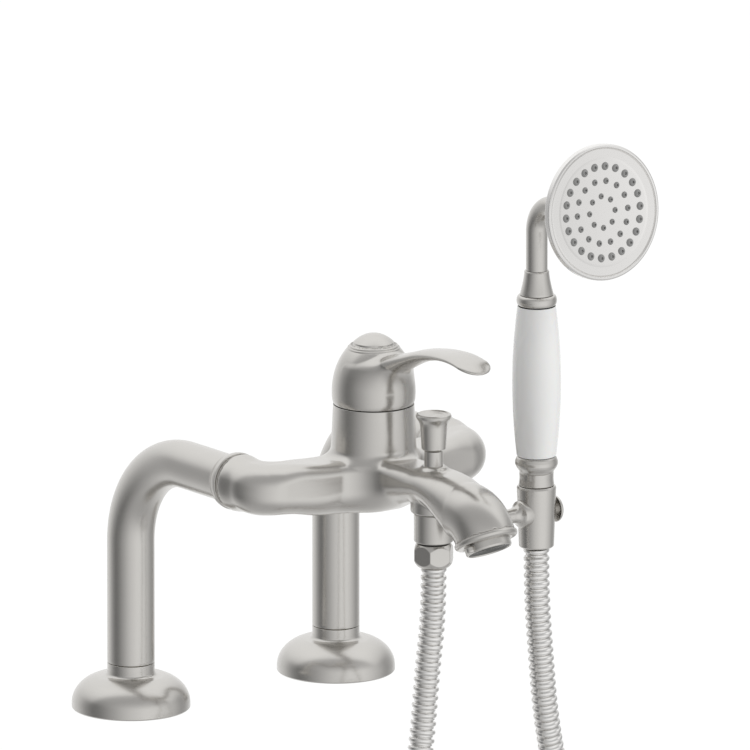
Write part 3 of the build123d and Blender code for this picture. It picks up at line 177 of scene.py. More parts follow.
@dataclass(frozen=True)
class Finish:
    """A surface finish: a clouded colour, a grained roughness and a fine relief.

    colour_shift is the share by which the colour clouds, cloud_scale and grain count features
    per metre, and relief is the bump's height in millimetres.
    """

    colour: tuple[float, float, float]
    roughness: tuple[float, float]
    metallic: float = 0.0
    colour_shift: float = 0.04
    cloud_scale: float = 45.0
    grain: tuple[float, float, float] = (90.0, 90.0, 900.0)
    relief: float = 0.0006
    coat: float = 0.0
    coat_roughness: float = 0.05
    subsurface: float = 0.0

    def build(self, name: str) -> bpy.types.Material:
        """Make a node material of that name.

        It reads Object coordinates: one noise, stretched by the grain, drives the roughness
        and the relief, and another, round one clouds the colour.
        """
        material = bpy.data.materials.new(name)
        tree = Tree(material)
        place = tree.add("TexCoord", {}, "Object")
        stretched = tree.add("Mapping", {"Vector": place, "Scale": self.grain})
        grain = {"Vector": stretched, "Scale": 1.0, "Detail": 4.0}
        grain = tree.add("TexNoise", grain, "Fac")
        clouds = {"Vector": place, "Scale": self.cloud_scale, "Detail": 5.0}
        clouds = tree.add("TexNoise", clouds, "Fac")
        darker = [value * (1 - self.colour_shift) for value in self.colour]
        lighter = [min(value * (1 + self.colour_shift), 1.0) for value in self.colour]
        tint = {0: clouds, 6: (*darker, 1), 7: (*lighter, 1)}
        rough = {
            "Value": grain,
            "From Min": 0.3,
            "From Max": 0.7,
            "To Min": self.roughness[0],
            "To Max": self.roughness[1],
        }
        shader = {
            "Metallic": self.metallic,
            "Coat Weight": self.coat,
            "Coat Roughness": self.coat_roughness,
            "Subsurface Weight": self.subsurface,
            "Subsurface Radius": (0.004, 0.003, 0.002),
            "Base Color": tree.add("Mix", tint, 2, data_type="RGBA"),
            "Roughness": tree.add("MapRange", rough),
            "Normal": tree.add("Bump", {"Distance": self.relief * MM, "Height": grain}),
        }
        tree.feed("Principled BSDF", shader)
        return material


ROSE_PLATE = Finish((0.83, 0.82, 0.805), (0.25, 0.28), metallic=1.0, colour_shift=0.01, relief=0.0)
FINISHES = {
    Slot.NICKEL: Finish((0.60, 0.585, 0.56), (0.23, 0.27), metallic=1.0, colour_shift=0.02),
    Slot.HOSE: Finish((0.80, 0.79, 0.775), (0.14, 0.2), metallic=1.0, relief=0.0005),
    Slot.CERAMIC: Finish(
        (0.86, 0.86, 0.85),
        (0.10, 0.16),
        colour_shift=0.012,
        grain=(160.0, 160.0, 160.0),
        relief=0.01,
        coat=0.6,
        subsurface=0.1,
    ),
    Slot.BRASS: Finish((0.76, 0.60, 0.33), (0.22, 0.34), metallic=1.0, grain=(60.0, 60.0, 2500.0)),
    Slot.RUBBER: Finish((0.035, 0.035, 0.035), (0.55, 0.75), colour_shift=0.2, relief=0.03),
    Slot.PLASTIC: Finish((0.15, 0.15, 0.145), (0.38, 0.5), colour_shift=0.1, relief=0.005),
    Slot.DISC: Finish((0.86, 0.82, 0.74), (0.12, 0.2), colour_shift=0.02, coat=0.3),
    Slot.STEEL: Finish((0.56, 0.56, 0.57), (0.24, 0.36), metallic=1.0),
    Slot.NOZZLE: Finish((0.27, 0.27, 0.265), (0.35, 0.5), colour_shift=0.1, relief=0.005),
    Slot.TIE: Finish((0.80, 0.80, 0.78), (0.35, 0.5), colour_shift=0.03, relief=0.03),
}


class Workshop:
    """Dresses pieces, hangs them on the bodies they ride on and hides the CAD nodes they replace."""

    def __init__(self) -> None:
        """Build every finish once."""
        self.materials = {slot: finish.build(slot.value) for slot, finish in FINISHES.items()}
        self.rose_plate = ROSE_PLATE.build("rose_plate_nickel")
        self.placed = 0

    def place(
        self,
        piece: Piece,
        body: Body,
        slot: Slot,
        *nodes: str,
        material: bpy.types.Material | None = None,
    ) -> None:
        """Give a piece its finish and its body, and hide the CAD nodes that it replaces.

        Args:
            piece: the finished mesh.
            body: the body that carries it.
            slot: its finish.
            nodes: the CAD nodes that it replaces.
            material: what it wears, or None for its slot's own material.
        """
        piece.data.materials.clear()
        piece.data.materials.append(material or self.materials[slot])
        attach(piece, body.value)
        if nodes:
            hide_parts(*nodes)
        self.placed += 1
        LOG.info("%s on %s, %d faces", piece.name, body.value, len(piece.data.polygons))

    def dress_frame(self) -> None:
        """Give every CAD node the finish of its slot, which is its imported material's name."""
        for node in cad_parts.values():
            for holder in node.material_slots:
                slot = Slot(holder.material.name.split(".")[0])
                holder.material = self.materials[slot]


# Meshes


def unit(vectors: Array) -> Array:
    """Vectors, the rows of an array or one alone, at a length of 1."""
    return vectors / np.linalg.norm(vectors, axis=-1, keepdims=True)


def ring_angles(sides: int) -> Array:
    """Angles in radians of points evenly round a circle."""
    return np.linspace(0, 2 * math.pi, sides, endpoint=False)


def span(node: str, axis: int = 2) -> tuple[float, float]:
    """Lowest and highest place of a CAD node along an axis, in millimetres."""
    low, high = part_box(node)
    return float(low[axis]) / MM, float(high[axis]) / MM


def weave(rows: int, columns: int, closed: bool) -> Array:
    """Quads of a grid of points, numbered row by row, whose columns close on themselves.

    Args:
        rows: number of rows.
        columns: points in each row.
        closed: whether the last row joins the first. If not, each of the two is one point.

    Returns:
        Point numbers of each quad, four to a row.
    """
    index = np.arange(rows * columns).reshape(rows, columns)
    first = index if closed else index[:-1]
    second = np.roll(index, -1, axis=0) if closed else index[1:]
    corners = (first, np.roll(first, -1, axis=1), np.roll(second, -1, axis=1), second)
    quads = np.stack(corners, axis=-1).reshape(-1, 4)
    if closed:
        return quads
    last = (rows - 1) * columns
    quads = np.where(quads < columns, 0, quads)
    return np.where(quads >= last, last, quads)


def signed_volume(points: Array, quads: Array) -> float:
    """Volume inside quads: the sum of the pyramids from the origin, negative inside out."""
    halves = np.vstack([quads[:, [0, 1, 2]], quads[:, [0, 2, 3]]])
    first, second, third = (points[halves[:, corner]] for corner in range(3))
    return float(np.einsum("ij,ij->", first, np.cross(second, third))) / 6


def add_mesh(
    name: str,
    points: Array,
    quads: Array,
    crease: float = 40.0,
    normals: Array | None = None,
) -> Piece:
    """Make an object from points and quads, with its faces turned outwards.

    Repeated corners of a quad are dropped, so a pole is a fan of triangles.

    Args:
        name: the object's name.
        points: points in millimetres.
        quads: point numbers, four to a row.
        crease: angle in degrees above which an edge stays sharp.
        normals: one normal for each point, or None to work them out.

    Returns:
        The new object, which lies at the origin.
    """
    if signed_volume(points, quads) < 0:
        quads = quads[:, ::-1]
    used, numbers = np.unique(quads, return_inverse=True)
    quads = numbers.reshape(-1, 4)
    points = points[used]
    double = quads == np.roll(quads, -1, axis=1)
    faces = quads[~double.any(axis=1)].tolist()
    for corner in range(4):
        faces += np.delete(quads[double[:, corner]], corner, axis=1).tolist()
    mesh = bpy.data.meshes.new(name)
    mesh.from_pydata((points * MM).tolist(), [], faces)
    mesh.polygons.foreach_set("use_smooth", np.ones(len(mesh.polygons), bool))
    if normals is None:
        mesh.set_sharp_from_angle(angle=math.radians(crease))
    else:
        mesh.normals_split_custom_set_from_vertices(normals[used].tolist())
    mesh.update()
    piece = bpy.data.objects.new(name, mesh)
    bpy.context.scene.collection.objects.link(piece)
    return piece


def corner_arc(here: Array, before: Array, after: Array, fillet: float, steps: int = 6) -> Array:
    """Arc that rounds one corner of an outline, or the corner itself if it hardly turns.

    The arc touches both runs at fillet times the tangent of half the turn, at most
    0.45 of the shorter run.

    Args:
        here: the corner.
        before: the corner before it.
        after: the corner after it.
        fillet: the arc's radius.
        steps: points on the arc.

    Returns:
        Points of (radius, distance).
    """
    back_run, ahead_run = np.linalg.norm(before - here), np.linalg.norm(after - here)
    back, ahead = (before - here) / back_run, (after - here) / ahead_run
    inside = math.acos(max(-1.0, min(1.0, float(back @ ahead))))
    if inside > math.radians(179):
        return here[None]
    reach = min(fillet / math.tan(inside / 2), 0.45 * back_run, 0.45 * ahead_run)
    radius = reach * math.tan(inside / 2)
    centre = here + unit(back + ahead) * radius / math.sin(inside / 2)
    start, end = here + back * reach - centre, here + ahead * reach - centre
    share = np.linspace(0, 1, steps)[:, None]
    return centre + radius * unit(start * (1 - share) + end * share)


def rounded(corners: Sequence[Corner], closed: bool, support: float = 0.35) -> Array:
    """Outline of straight runs whose corners are rounded by arcs.

    Args:
        corners: the corners in order, each (radius, distance) or (radius, distance, fillet).
        closed: whether the last corner joins the first.
        support: distance from its ends at which a long run gets a point more, which keeps
            its shading flat.

    Returns:
        Points of (radius, distance).
    """
    places = np.array([corner[:2] for corner in corners], float)
    count = len(places)
    arcs = []
    for number, corner in enumerate(corners):
        here = places[number]
        sharp = len(corner) == 2 or (not closed and number in (0, count - 1))
        after = places[(number + 1) % count]
        arcs.append(here[None] if sharp else corner_arc(here, places[number - 1], after, corner[2]))
    outline = []
    for number, arc in enumerate(arcs):
        outline.append(arc)
        if not closed and number == count - 1:
            break
        start, end = arc[-1], arcs[(number + 1) % count][0]
        run = np.linalg.norm(end - start)
        if run > 4 * support:
            step = (end - start) / run * support
            outline.append(np.array([start + step, end - step]))
    points = np.vstack(outline)
    keep = np.linalg.norm(points - np.roll(points, 1, axis=0), axis=1) > 1e-6
    keep[0] = True
    return points[keep]


def arc_corners(
    centre: tuple[float, float], radii: tuple[float, float], start: float, end: float, count: int
) -> list[Corner]:
    """Plain corners along part of an ellipse: centre plus the radii by cosine and sine.

    Args:
        centre: centre of the ellipse.
        radii: its two half axes.
        start: first angle in degrees.
        end: last angle in degrees.
        count: number of corners.

    Returns:
        The corners in order.
    """
    angles = np.radians(np.linspace(start, end, count))
    across, along = centre[0] + radii[0] * np.cos(angles), centre[1] + radii[1] * np.sin(angles)
    return list(zip(across, along))


def turned(
    name: str,
    corners: Sequence[Corner],
    origin: Sequence[float],
    axis: Sequence[float] = UP,
    sides: int = 96,
) -> Piece:
    """Turn a rounded outline about an axis.

    A point at (radius, distance) and angle a lies at origin + distance along the axis +
    radius by (cos a, sin a) across it. An outline that starts and ends on the axis closes in
    two poles, and any other closes on itself as a ring.

    Args:
        name: the object's name.
        corners: the outline's corners, as for rounded.
        origin: a point on the axis, where the distance is 0.
        axis: direction of the axis.
        sides: points round the axis.

    Returns:
        The new object.
    """
    closed = corners[0][0] > 1e-6 or corners[-1][0] > 1e-6
    outline = rounded(corners, closed)
    along = np.array(Vector(axis).normalized())
    across = np.array(RIGHT) if abs(along[0]) < 0.9 else np.array((0.0, 1.0, 0.0))
    across = unit(across - along * (across @ along))
    angles = ring_angles(sides)[:, None]
    spokes = np.cos(angles) * across + np.sin(angles) * np.cross(along, across)
    centres = np.array(origin, float) + outline[:, 1, None] * along
    points = centres[:, None, :] + outline[:, 0, None, None] * spokes
    return add_mesh(name, points.reshape(-1, 3), weave(len(outline), sides, closed))


def carried(
    path: Array, radii: Array, across: Sequence[float], sides: int, along: Array | None = None
) -> tuple[Array, Array]:
    """Carry a circle along a path and close both ends.

    At each point of the path the circle lies across the path's direction: its first axis is
    `across` less its share along the path, its second is square to both.

    Args:
        path: points of the path.
        radii: the circle's radius at each point.
        across: a direction that the path never takes.
        sides: points round the circle.
        along: the path's direction at each point, or None to work it out.

    Returns:
        The points and the quads.
    """
    along = unit(np.gradient(path, axis=0)) if along is None else along
    aside = np.array(across, float)
    first = unit(aside - along * (along @ aside)[:, None])
    second = np.cross(along, first)
    order = np.concatenate([[0], np.arange(len(path)), [len(path) - 1]])
    radii = np.concatenate([[0.0], radii, [0.0]])
    angles = ring_angles(sides)[None, :, None]
    circle = np.cos(angles) * first[order][:, None, :] + np.sin(angles) * second[order][:, None, :]
    points = path[order][:, None, :] + radii[:, None, None] * circle
    return points.reshape(-1, 3), weave(len(order), sides, closed=False)


# Solids described by their distance to the surface


def fillet_union(first: Array, second: Array, radius: Array | float) -> Array:
    """Join two distances with a round fillet: the larger of the radius and the nearer
    surface, less the length of what each distance lacks of the radius."""
    reach = np.hypot(np.maximum(radius - first, 0), np.maximum(radius - second, 0))
    return np.maximum(np.minimum(first, second), radius) - reach


def round_cut(first: Array, second: Array, radius: float) -> Array:
    """Keep what lies inside both distances, with the edge between them rounded."""
    reach = np.hypot(np.maximum(radius + first, 0), np.maximum(radius + second, 0))
    return np.minimum(np.maximum(first, second), -radius) + reach


def ease(value: Array, start: float, end: float) -> Array:
    """Rise smoothly from 0 at start to 1 at end: 3t^2 - 2t^3."""
    share = np.clip((value - start) / (end - start), 0, 1)
    return share * share * (3 - 2 * share)


def flow(value: Array, knots: Sequence[float], levels: Sequence[float]) -> Array:
    """Smooth curve through levels at knots: cubic pieces whose slopes are those of the
    neighbouring levels, level beyond both ends."""
    places, heights = np.array(knots, float), np.array(levels, float)
    slopes = np.gradient(heights, places)
    value = np.clip(value, places[0], places[-1])
    piece = np.clip(np.searchsorted(places, value) - 1, 0, len(places) - 2)
    width = places[piece + 1] - places[piece]
    t = (value - places[piece]) / width
    rise = heights[piece + 1] - heights[piece]
    start, end = slopes[piece] * width, slopes[piece + 1] * width
    bend = 3 * rise - 2 * start - end + t * (start + end - 2 * rise)
    return heights[piece] + t * (start + t * bend)


def power_section(
    wide: Array, tall: Array, width: Array | float, height: Array | float, power: float, least: float
) -> Array:
    """Distance to wide^p + tall^p = 1: the excess of its p-th root over 1, over its gradient.

    Args:
        wide: share of the half width.
        tall: share of the half height.
        width: the half width.
        height: the half height.
        power: 2 for an ellipse, and more for fuller corners.
        least: lowest gradient to divide by.

    Returns:
        The distance, negative inside.
    """
    level = (wide**power + tall**power + 1e-9) ** (1 / power)
    slope = np.hypot((wide / level) ** (power - 1) / width, (tall / level) ** (power - 1) / height)
    return (level - 1) / np.maximum(slope, least)


def gradient(distance: Callable[[Array], Array], points: Array) -> Array:
    """Gradient of a distance, by the difference over a twentieth of a millimetre each way."""
    reach = 0.05
    steps = np.eye(3) * reach
    sides = [distance(points + step) - distance(points - step) for step in steps]
    return np.stack(sides, axis=1) / (2 * reach)


def cast(
    name: str,
    distance: Callable[[Array], Array],
    low: Sequence[float],
    high: Sequence[float],
    cell: float,
) -> Piece:
    """Mesh the zero level of a distance and move its points onto it.

    The distance is worked out on a grid and meshed. Each point then takes three steps down
    the gradient by distance over gradient squared, and the gradient is its normal.

    Args:
        name: the object's name.
        distance: distance in millimetres to the surface, negative inside.
        low: lowest corner of the grid.
        high: highest corner.
        cell: the grid's step.

    Returns:
        The new object.
    """
    axes = [np.arange(start, end + cell, cell) for start, end in zip(low, high)]
    band = 3 * cell
    levels = np.empty([len(axis) for axis in axes], np.float32)
    for number, place in enumerate(axes[0]):
        grid = np.meshgrid([place], axes[1], axes[2], indexing="ij")
        sample = np.stack([part.ravel() for part in grid], axis=1)
        levels[number] = np.clip(distance(sample), -band, band).reshape(levels.shape[1:])
    volume = openvdb.FloatGrid(background=band)
    volume.copyFromArray(levels)
    volume.transform = openvdb.createLinearTransform(voxelSize=cell)
    points, quads = volume.convertToQuads()
    points = points.astype(float) + np.array([axis[0] for axis in axes])
    slope = gradient(distance, points)
    for _ in range(3):
        step = distance(points) / np.maximum((slope**2).sum(axis=1), 0.25)
        points = points - slope * np.clip(step, -0.6 * cell, 0.6 * cell)[:, None]
        slope = gradient(distance, points)
    normals = slope / np.maximum(np.linalg.norm(slope, axis=1, keepdims=True), 1e-9)
    return add_mesh(name, points, quads.astype(int), normals=normals)


# Sub-assemblies


@dataclass
class Legs:
    """The two supply legs with their escutcheons and the flared collars at their ends."""

    half_centres: float = 75.0
    tube_radius: float = 14.0
    bend_radius: float = 57.0
    arm_height: float = 158.0
    reach: float = 108.0
    collar_length: float = 10.4
    escutcheon_radius: float = 35.0
    escutcheon_height: float = 20.3
    escutcheon_edge: float = 3.0
    wall: float = 2.0
    neck_top: float = 27.5
    joint_gap: float = 0.3

    def escutcheon(self, side: str, x: float) -> Piece:
        """Turn the domed cover: a quarter ellipse from the rim to the neck, and its inside."""
        neck, rim = self.tube_radius, self.escutcheon_radius
        width = rim - neck
        rise = self.escutcheon_height - self.escutcheon_edge
        centre = (neck, self.escutcheon_edge)
        corners = [
            (neck - 1.0, self.neck_top, 0.1),
            (neck, self.neck_top, 0.3),
            (neck, self.escutcheon_height - 0.05, 2.2),
            *arc_corners(centre, (width, rise), 74, 0, 20),
            (rim, 0.8, 0.4),
            (rim - 0.7, 0.0, 0.3),
            (rim - self.wall, 0.0, 0.1),
            *arc_corners(centre, (width - self.wall, rise - self.wall), 0, 88, 12),
            (neck - 1.0, self.escutcheon_height - self.wall, 0.1),
        ]
        return turned(f"{side}_escutcheon_shell", corners, (x, 0, 0), sides=128)

    def leg(self, side: str, x: float) -> Piece:
        """Carry a circle up the leg, round its bend and forward to the collar."""
        foot = self.neck_top + self.joint_gap
        bend_start = self.arm_height - self.bend_radius
        turns = np.radians(np.linspace(0, 90, 49))
        rise = np.linspace(foot + 2, bend_start - 2, 8)
        rise = np.concatenate([[foot, foot + 0.12, foot + 0.4], rise])
        forward = np.linspace(self.bend_radius + 2, self.reach - self.collar_length + 4.4, 6)
        y = np.concatenate([0 * rise, -self.bend_radius * (1 - np.cos(turns)), -forward])
        bend = bend_start + self.bend_radius * np.sin(turns)
        z = np.concatenate([rise, bend, 0 * forward + self.arm_height])
        path = np.stack([np.full_like(y, x), y, z], axis=1)
        radii = np.full(len(path), self.tube_radius)
        radii[:2] -= (0.4, 0.1)
        return add_mesh(f"{side}_leg_tube", *carried(path, radii, RIGHT, 96))

    def collar(self, side: str, x: float) -> Piece:
        """Turn the flared collar about the leg's forward axis."""
        start, end = self.reach - self.collar_length, self.reach
        radius = self.tube_radius
        corners = [
            (radius - 0.6, start),
            (radius + 0.2, start, 0.15),
            (radius + 1.2, start + 2.2, 4.0),
            (radius + 2.9, start + 5.4, 4.0),
            (radius + 3.1, end - 2.4, 0.3),
            (radius + 2.6, end - 1.7, 0.3),
            (radius + 1.5, end - 1.5, 0.3),
            (radius + 1.5, end + 1.4),
            (radius - 3.1, end + 1.4),
            (radius - 3.1, end - 4.0),
            (radius - 0.6, end - 4.0),
        ]
        return turned(f"{side}_collar_ring", corners, (x, 0, self.arm_height), AHEAD)

    def build(self, shop: Workshop) -> None:
        """Make and dress both sides."""
        makers = (("escutcheon", self.escutcheon), ("leg", self.leg), ("union_collar", self.collar))
        for side, sign in (("left", -1), ("right", 1)):
            for node, make in makers:
                piece = make(side, sign * self.half_centres)
                shop.place(piece, Body.MIXER, Slot.NICKEL, f"{node}_{side}")


@dataclass
class Casting:
    """The cast body: two arms that turn in to the hub, the spout, and the outlet boss."""

    half_centres: float = 75.0
    arm_start: float = 109.0
    start_edge: float = 0.8
    arm_radius: float = 15.2
    start_radius: float = 17.0
    swell_end: float = 121.0
    elbow_radius: float = 23.0
    inner_elbow_radius: float = 5.0
    arm_height: float = 158.0
    elbow_forward: float = 129.4
    elbow_height: float = 156.9
    hub_forward: float = 139.0
    arm_depth: float = 17.5
    arm_top: float = 169.9
    arm_bottom: float = 137.3
    arm_edges: tuple[float, float] = (8.5, 12.5)
    arm_level: tuple[float, float] = (0.12, 0.85)
    arm_square: tuple[float, float] = (22.0, 60.0)
    arm_spout_change: tuple[float, float] = (30.0, 58.0)
    web_fillet: float = 17.0
    hub_base: float = 170.0
    hub_root: float = 150.0
    hub_blend: tuple[float, float] = (162.9, 169.4)
    hub_rim: float = 200.8
    hub_base_radius: float = 25.3
    hub_taper: float = 1.5 / 31.0
    hub_fillet: float = 5.0
    hub_split: float = 192.0
    rim_foot: float = 184.5
    rim_inset: float = 0.6
    rim_proud: float = 0.03
    rim_wall: float = 1.2
    pivot: float = 208.0
    socket_radius: float = 24.75
    chamber_radius: float = 18.5
    chamber_floor: float = 179.0
    spout_root: float = 129.0
    bend_forward: float = 229.69
    spout_radius: float = 18.0
    bend_radius: float = 21.3
    spout_line: float = 153.0
    mouth: tuple[float, float, float] = (0.0, -248.5, 141.7)
    mouth_angle: float = 62.0
    mouth_inset: float = 0.3
    mouth_bore: float = 13.3
    mouth_depth: float = 5.4
    diverter_forward: float = 198.0
    boss_radius: float = 13.6
    boss_bottom: float = 147.0
    boss_top: float = 160.0
    boss_fillet: float = 2.0
    pad_radius: float = 7.0
    pad_top: float = 174.6
    pad_fillet: float = 4.0
    edge: float = 1.0

    def mouth_direction(self) -> Array:
        """Direction in which the spout's mouth points."""
        turn = math.radians(self.mouth_angle)
        return np.array((0.0, -math.cos(turn), -math.sin(turn)))

    def stub_radius(self, forward: Array) -> Array:
        """Radius of the stub behind the elbow: it narrows smoothly away from the collar."""
        fade = 1 - ease(forward, self.arm_start, self.swell_end)
        return self.arm_radius + (self.start_radius - self.arm_radius) * fade

    def hub_radius(self, height: Array | float) -> Array | float:
        """Outside radius of the hub at a height: a slight straight taper."""
        return self.hub_base_radius - self.hub_taper * (height - self.hub_base)

    def plan(self, x: Array, forward: Array) -> Array:
        """Distance in plan to the outline of the arms and the spout.

        The arm is a strip that widens from the elbow to the hub, and the stub behind the
        elbow another, wider where it starts. The elbow's outer corner is an arc and so is
        its inner one. The spout is a strip down the middle, and a fillet joins it.
        """
        run = np.array((self.half_centres, self.hub_forward - self.elbow_forward))
        length = float(np.linalg.norm(run))
        run = run / length
        from_elbow = (self.half_centres - x) * run[0] + (forward - self.elbow_forward) * run[1]
        aside = (forward - self.elbow_forward) * run[0] - (self.half_centres - x) * run[1]
        depth = self.arm_radius + (self.arm_depth - self.arm_radius) * ease(from_elbow, 0, length)
        stub = self.stub_radius(forward)
        beside = x - self.half_centres
        outer = round_cut(beside - stub, aside - depth, self.elbow_radius)
        inner = round_cut(beside + stub, aside + depth, self.inner_elbow_radius)
        arms = np.maximum(outer, -inner)
        half_width = flow(forward, (139, 165, 200, 215, 229.7), (16.5, 16.0, 16.6, 17.4, 18.0))
        spout = np.maximum(x - half_width, self.spout_root - forward)
        return fillet_union(arms, spout, self.web_fillet)

    def heights(self, x: Array, forward: Array) -> tuple[Array, Array, Array, Array]:
        """Top, bottom and the radii of the upper and the lower edge at a place in plan.

        The arm's levels change from the round stub's to the hub's, and its section from round
        to square. Near the middle they give way to the spout's, which are told by stations.
        """
        from_axis = self.half_centres - x
        share = np.clip(from_axis / self.half_centres, 0, 1)
        stub = np.clip((self.elbow_forward - forward) / (self.elbow_forward - self.arm_start), 0, 1)
        line = self.elbow_height + (self.arm_height - self.elbow_height) * stub
        near = ease(share, *self.arm_level)
        radius = self.stub_radius(forward)
        along = forward - self.arm_start + np.maximum(from_axis, 0)
        square = ease(along, *self.arm_square)
        arm = (
            (line + radius) * (1 - near) + self.arm_top * near,
            (line - radius) * (1 - near) + self.arm_bottom * near,
            *(radius + (edge - radius) * square for edge in self.arm_edges),
        )
        stations = (139, 154, 164, 174, 182, 191, 200, 206, 213, 218, 223, 229.7)
        spout = (
            (170.4, 170.6, 171.2, 171.7, 172, 172.2, 172.4, 172.5, 172.5, 172.4, 172, 171),
            (138.0, 139, 142.6, 147, 150, 153.2, 154.6, 152.8, 148.7, 144.8, 140.6, 135),
            (8.5, 7.5, 7, 7.5, 8.5, 9.4, 9.5, 10.5, 12, 13.6, 15.5, 17.9),
            (15, 16, 16, 14.5, 12, 9.8, 9, 10, 11.8, 13.6, 15.5, 17.9),
        )
        aside = ease(x, *self.arm_spout_change)
        top, bottom, upper, lower = (
            flow(forward, stations, levels) * (1 - aside) + across * aside
            for levels, across in zip(spout, arm)
        )
        least = np.minimum((top - bottom) / (upper + lower), 1)
        return top, bottom, upper * least, lower * least

    def branches(self, x: Array, forward: Array, z: Array) -> Array:
        """Distance to the arms and the straight of the spout: the plan outline between a top
        and a bottom, with rounded edges."""
        top, bottom, upper, lower = self.heights(x, forward)
        above = z > bottom + (top - bottom) * lower / (upper + lower)
        edge = np.where(above, upper, lower)
        beside = self.plan(x, forward) + edge
        beyond = np.where(above, z - top, bottom - z) + edge
        reach = np.hypot(np.maximum(beside, 0), np.maximum(beyond, 0))
        return np.minimum(np.maximum(beside, beyond), 0) + reach - edge

    def bend(self, points: Array) -> Array:
        """Distance to the spout's end: a circle turned about the bend's axis, cut off at the
        mouth and bored."""
        past = -points[:, 1] - self.bend_forward
        over = points[:, 2] - (self.spout_line - self.bend_radius)
        tube = np.hypot(points[:, 0], np.hypot(past, over) - self.bend_radius) - self.spout_radius
        from_mouth = points - np.array(self.mouth)
        to_mouth = from_mouth @ self.mouth_direction()
        across = np.linalg.norm(from_mouth - to_mouth[:, None] * self.mouth_direction(), axis=1)
        bore = np.maximum(across - self.mouth_bore, -self.mouth_depth - to_mouth)
        return np.maximum(np.maximum(tube, to_mouth + self.mouth_inset), -bore)

    def distance(self, points: Array) -> Array:
        """Distance to the casting: the branches and the bend, joined to the hub, the boss
        under the spout and the diverter's pad, and hollow in the hub."""
        x, forward, z = np.abs(points[:, 0]), -points[:, 1], points[:, 2]
        ahead = forward > self.bend_forward
        solid = np.where(ahead, self.bend(points), self.branches(x, forward, z))
        solid = round_cut(solid, self.arm_start - forward, self.start_edge)
        from_hub = np.hypot(x, forward - self.hub_forward)
        inset = self.rim_inset * ease(z, self.rim_foot + 2.0, self.rim_foot + 3.5)
        hub = from_hub - self.hub_radius(z) + inset
        hub = np.maximum(hub, np.maximum(z - self.hub_split, self.hub_root - z))
        above_arms = ease(z, *self.hub_blend)
        solid = fillet_union(solid, hub, 0.02 + self.hub_fillet * above_arms)
        from_boss = np.hypot(x, forward - self.diverter_forward)
        boss = round_cut(from_boss - self.boss_radius, self.boss_bottom - z, self.edge)
        solid = fillet_union(solid, np.maximum(boss, z - self.boss_top), self.boss_fillet)
        pad = np.maximum(from_boss - self.pad_radius, self.arm_height - z)
        solid = fillet_union(solid, round_cut(pad, z - self.pad_top, self.edge), self.pad_fillet)
        chamber = np.maximum(from_hub - self.chamber_radius, self.chamber_floor - z)
        return np.maximum(solid, -chamber)

    def rim(self) -> Piece:
        """Turn the hub's upper wall, whose inside is the sphere that the lever swings in."""
        proud, edge = self.rim_proud, self.hub_rim
        foot = self.hub_radius(self.rim_foot)
        depths = np.linspace(edge - 0.25, self.hub_split, 14)
        corners = [
            (foot - self.rim_wall, self.rim_foot),
            (foot + proud, self.rim_foot),
            (self.hub_radius(edge - 0.3) + proud, edge - 0.3, 0.1),
            (self.hub_radius(edge) - 0.1, edge, 0.05),
            *zip(np.sqrt(self.socket_radius**2 - (self.pivot - depths) ** 2), depths),
            (foot - self.rim_wall, self.hub_split - 1.0),
        ]
        return turned("hub_rim", corners, (0, -self.hub_forward, 0), sides=160)

    def lip(self) -> Piece:
        """Turn the flange round the spout's mouth."""
        corners = [
            (13.4, -1.2),
            (17.5, -1.2),
            (17.75, -0.25, 0.1),
            (18.75, 0.15, 0.5),
            (19.05, 1.4, 0.8),
            (18.7, 2.7, 0.8),
            (17.6, 3.5, 0.6),
            (15.2, 3.7, 0.5),
            (14.4, 3.3, 0.2),
            (13.4, 3.3),
        ]
        return turned("spout_lip", corners, self.mouth, self.mouth_direction(), sides=128)

    def build(self, shop: Workshop) -> None:
        """Make and dress the casting, its rim and its lip."""
        casting = cast("mixer_casting", self.distance, (-94, -266, 131), (94, -107, 194), 1.1)
        shop.place(casting, Body.MIXER, Slot.NICKEL, "body")
        shop.place(self.rim(), Body.MIXER, Slot.NICKEL)
        shop.place(self.lip(), Body.MIXER, Slot.NICKEL)


@dataclass
class Aerator:
    """The ring in the spout's mouth, with the lug that a key turns."""

    radius: float = 13.8
    bore: float = 9.8
    drop: float = 8.5
    lug_angle: float = 172.0
    lug_radius: float = 2.7
    wave: float = 0.22

    def build(self, shop: Workshop, casting: Casting) -> None:
        """Make and dress the ring, the waved mesh in it and its lug."""
        axis = casting.mouth_direction()
        radius, drop = self.radius, self.drop
        corners = [
            (self.bore, -5.0),
            (radius - 1.0, -5.0),
            (radius - 1.0, 2.6),
            (radius, 2.8, 0.1),
            (radius, drop - 1.0, 0.5),
            (radius - 0.6, drop, 0.4),
            (radius - 1.3, drop, 0.3),
            (radius - 1.6, drop - 1.2),
            (self.bore, drop - 1.2),
        ]
        ring = turned("aerator_ring", corners, casting.mouth, axis)
        shop.place(ring, Body.MIXER, Slot.NICKEL, "aerator_housing")
        rings = np.linspace(0, radius - 1.7, 49)
        waves = drop - 0.9 + self.wave * np.cos(2 * math.pi * np.arange(49) / 4)
        corners = [*zip(rings, waves), (radius - 1.7, drop - 2.0), (0, drop - 2.0)]
        shop.place(turned("aerator_mesh", corners, casting.mouth, axis), Body.MIXER, Slot.PLASTIC)
        turn = math.radians(self.lug_angle)
        side = math.cos(turn) * np.array(RIGHT) + math.sin(turn) * np.cross(axis, RIGHT)
        place = np.array(casting.mouth) + side * (radius + 0.8)
        corners = [(0, 4.4), (self.lug_radius, 4.4, 1.0), (self.lug_radius, 8.2, 1.3), (0, 8.6)]
        shop.place(turned("aerator_lug", corners, place, axis, sides=32), Body.MIXER, Slot.NICKEL)


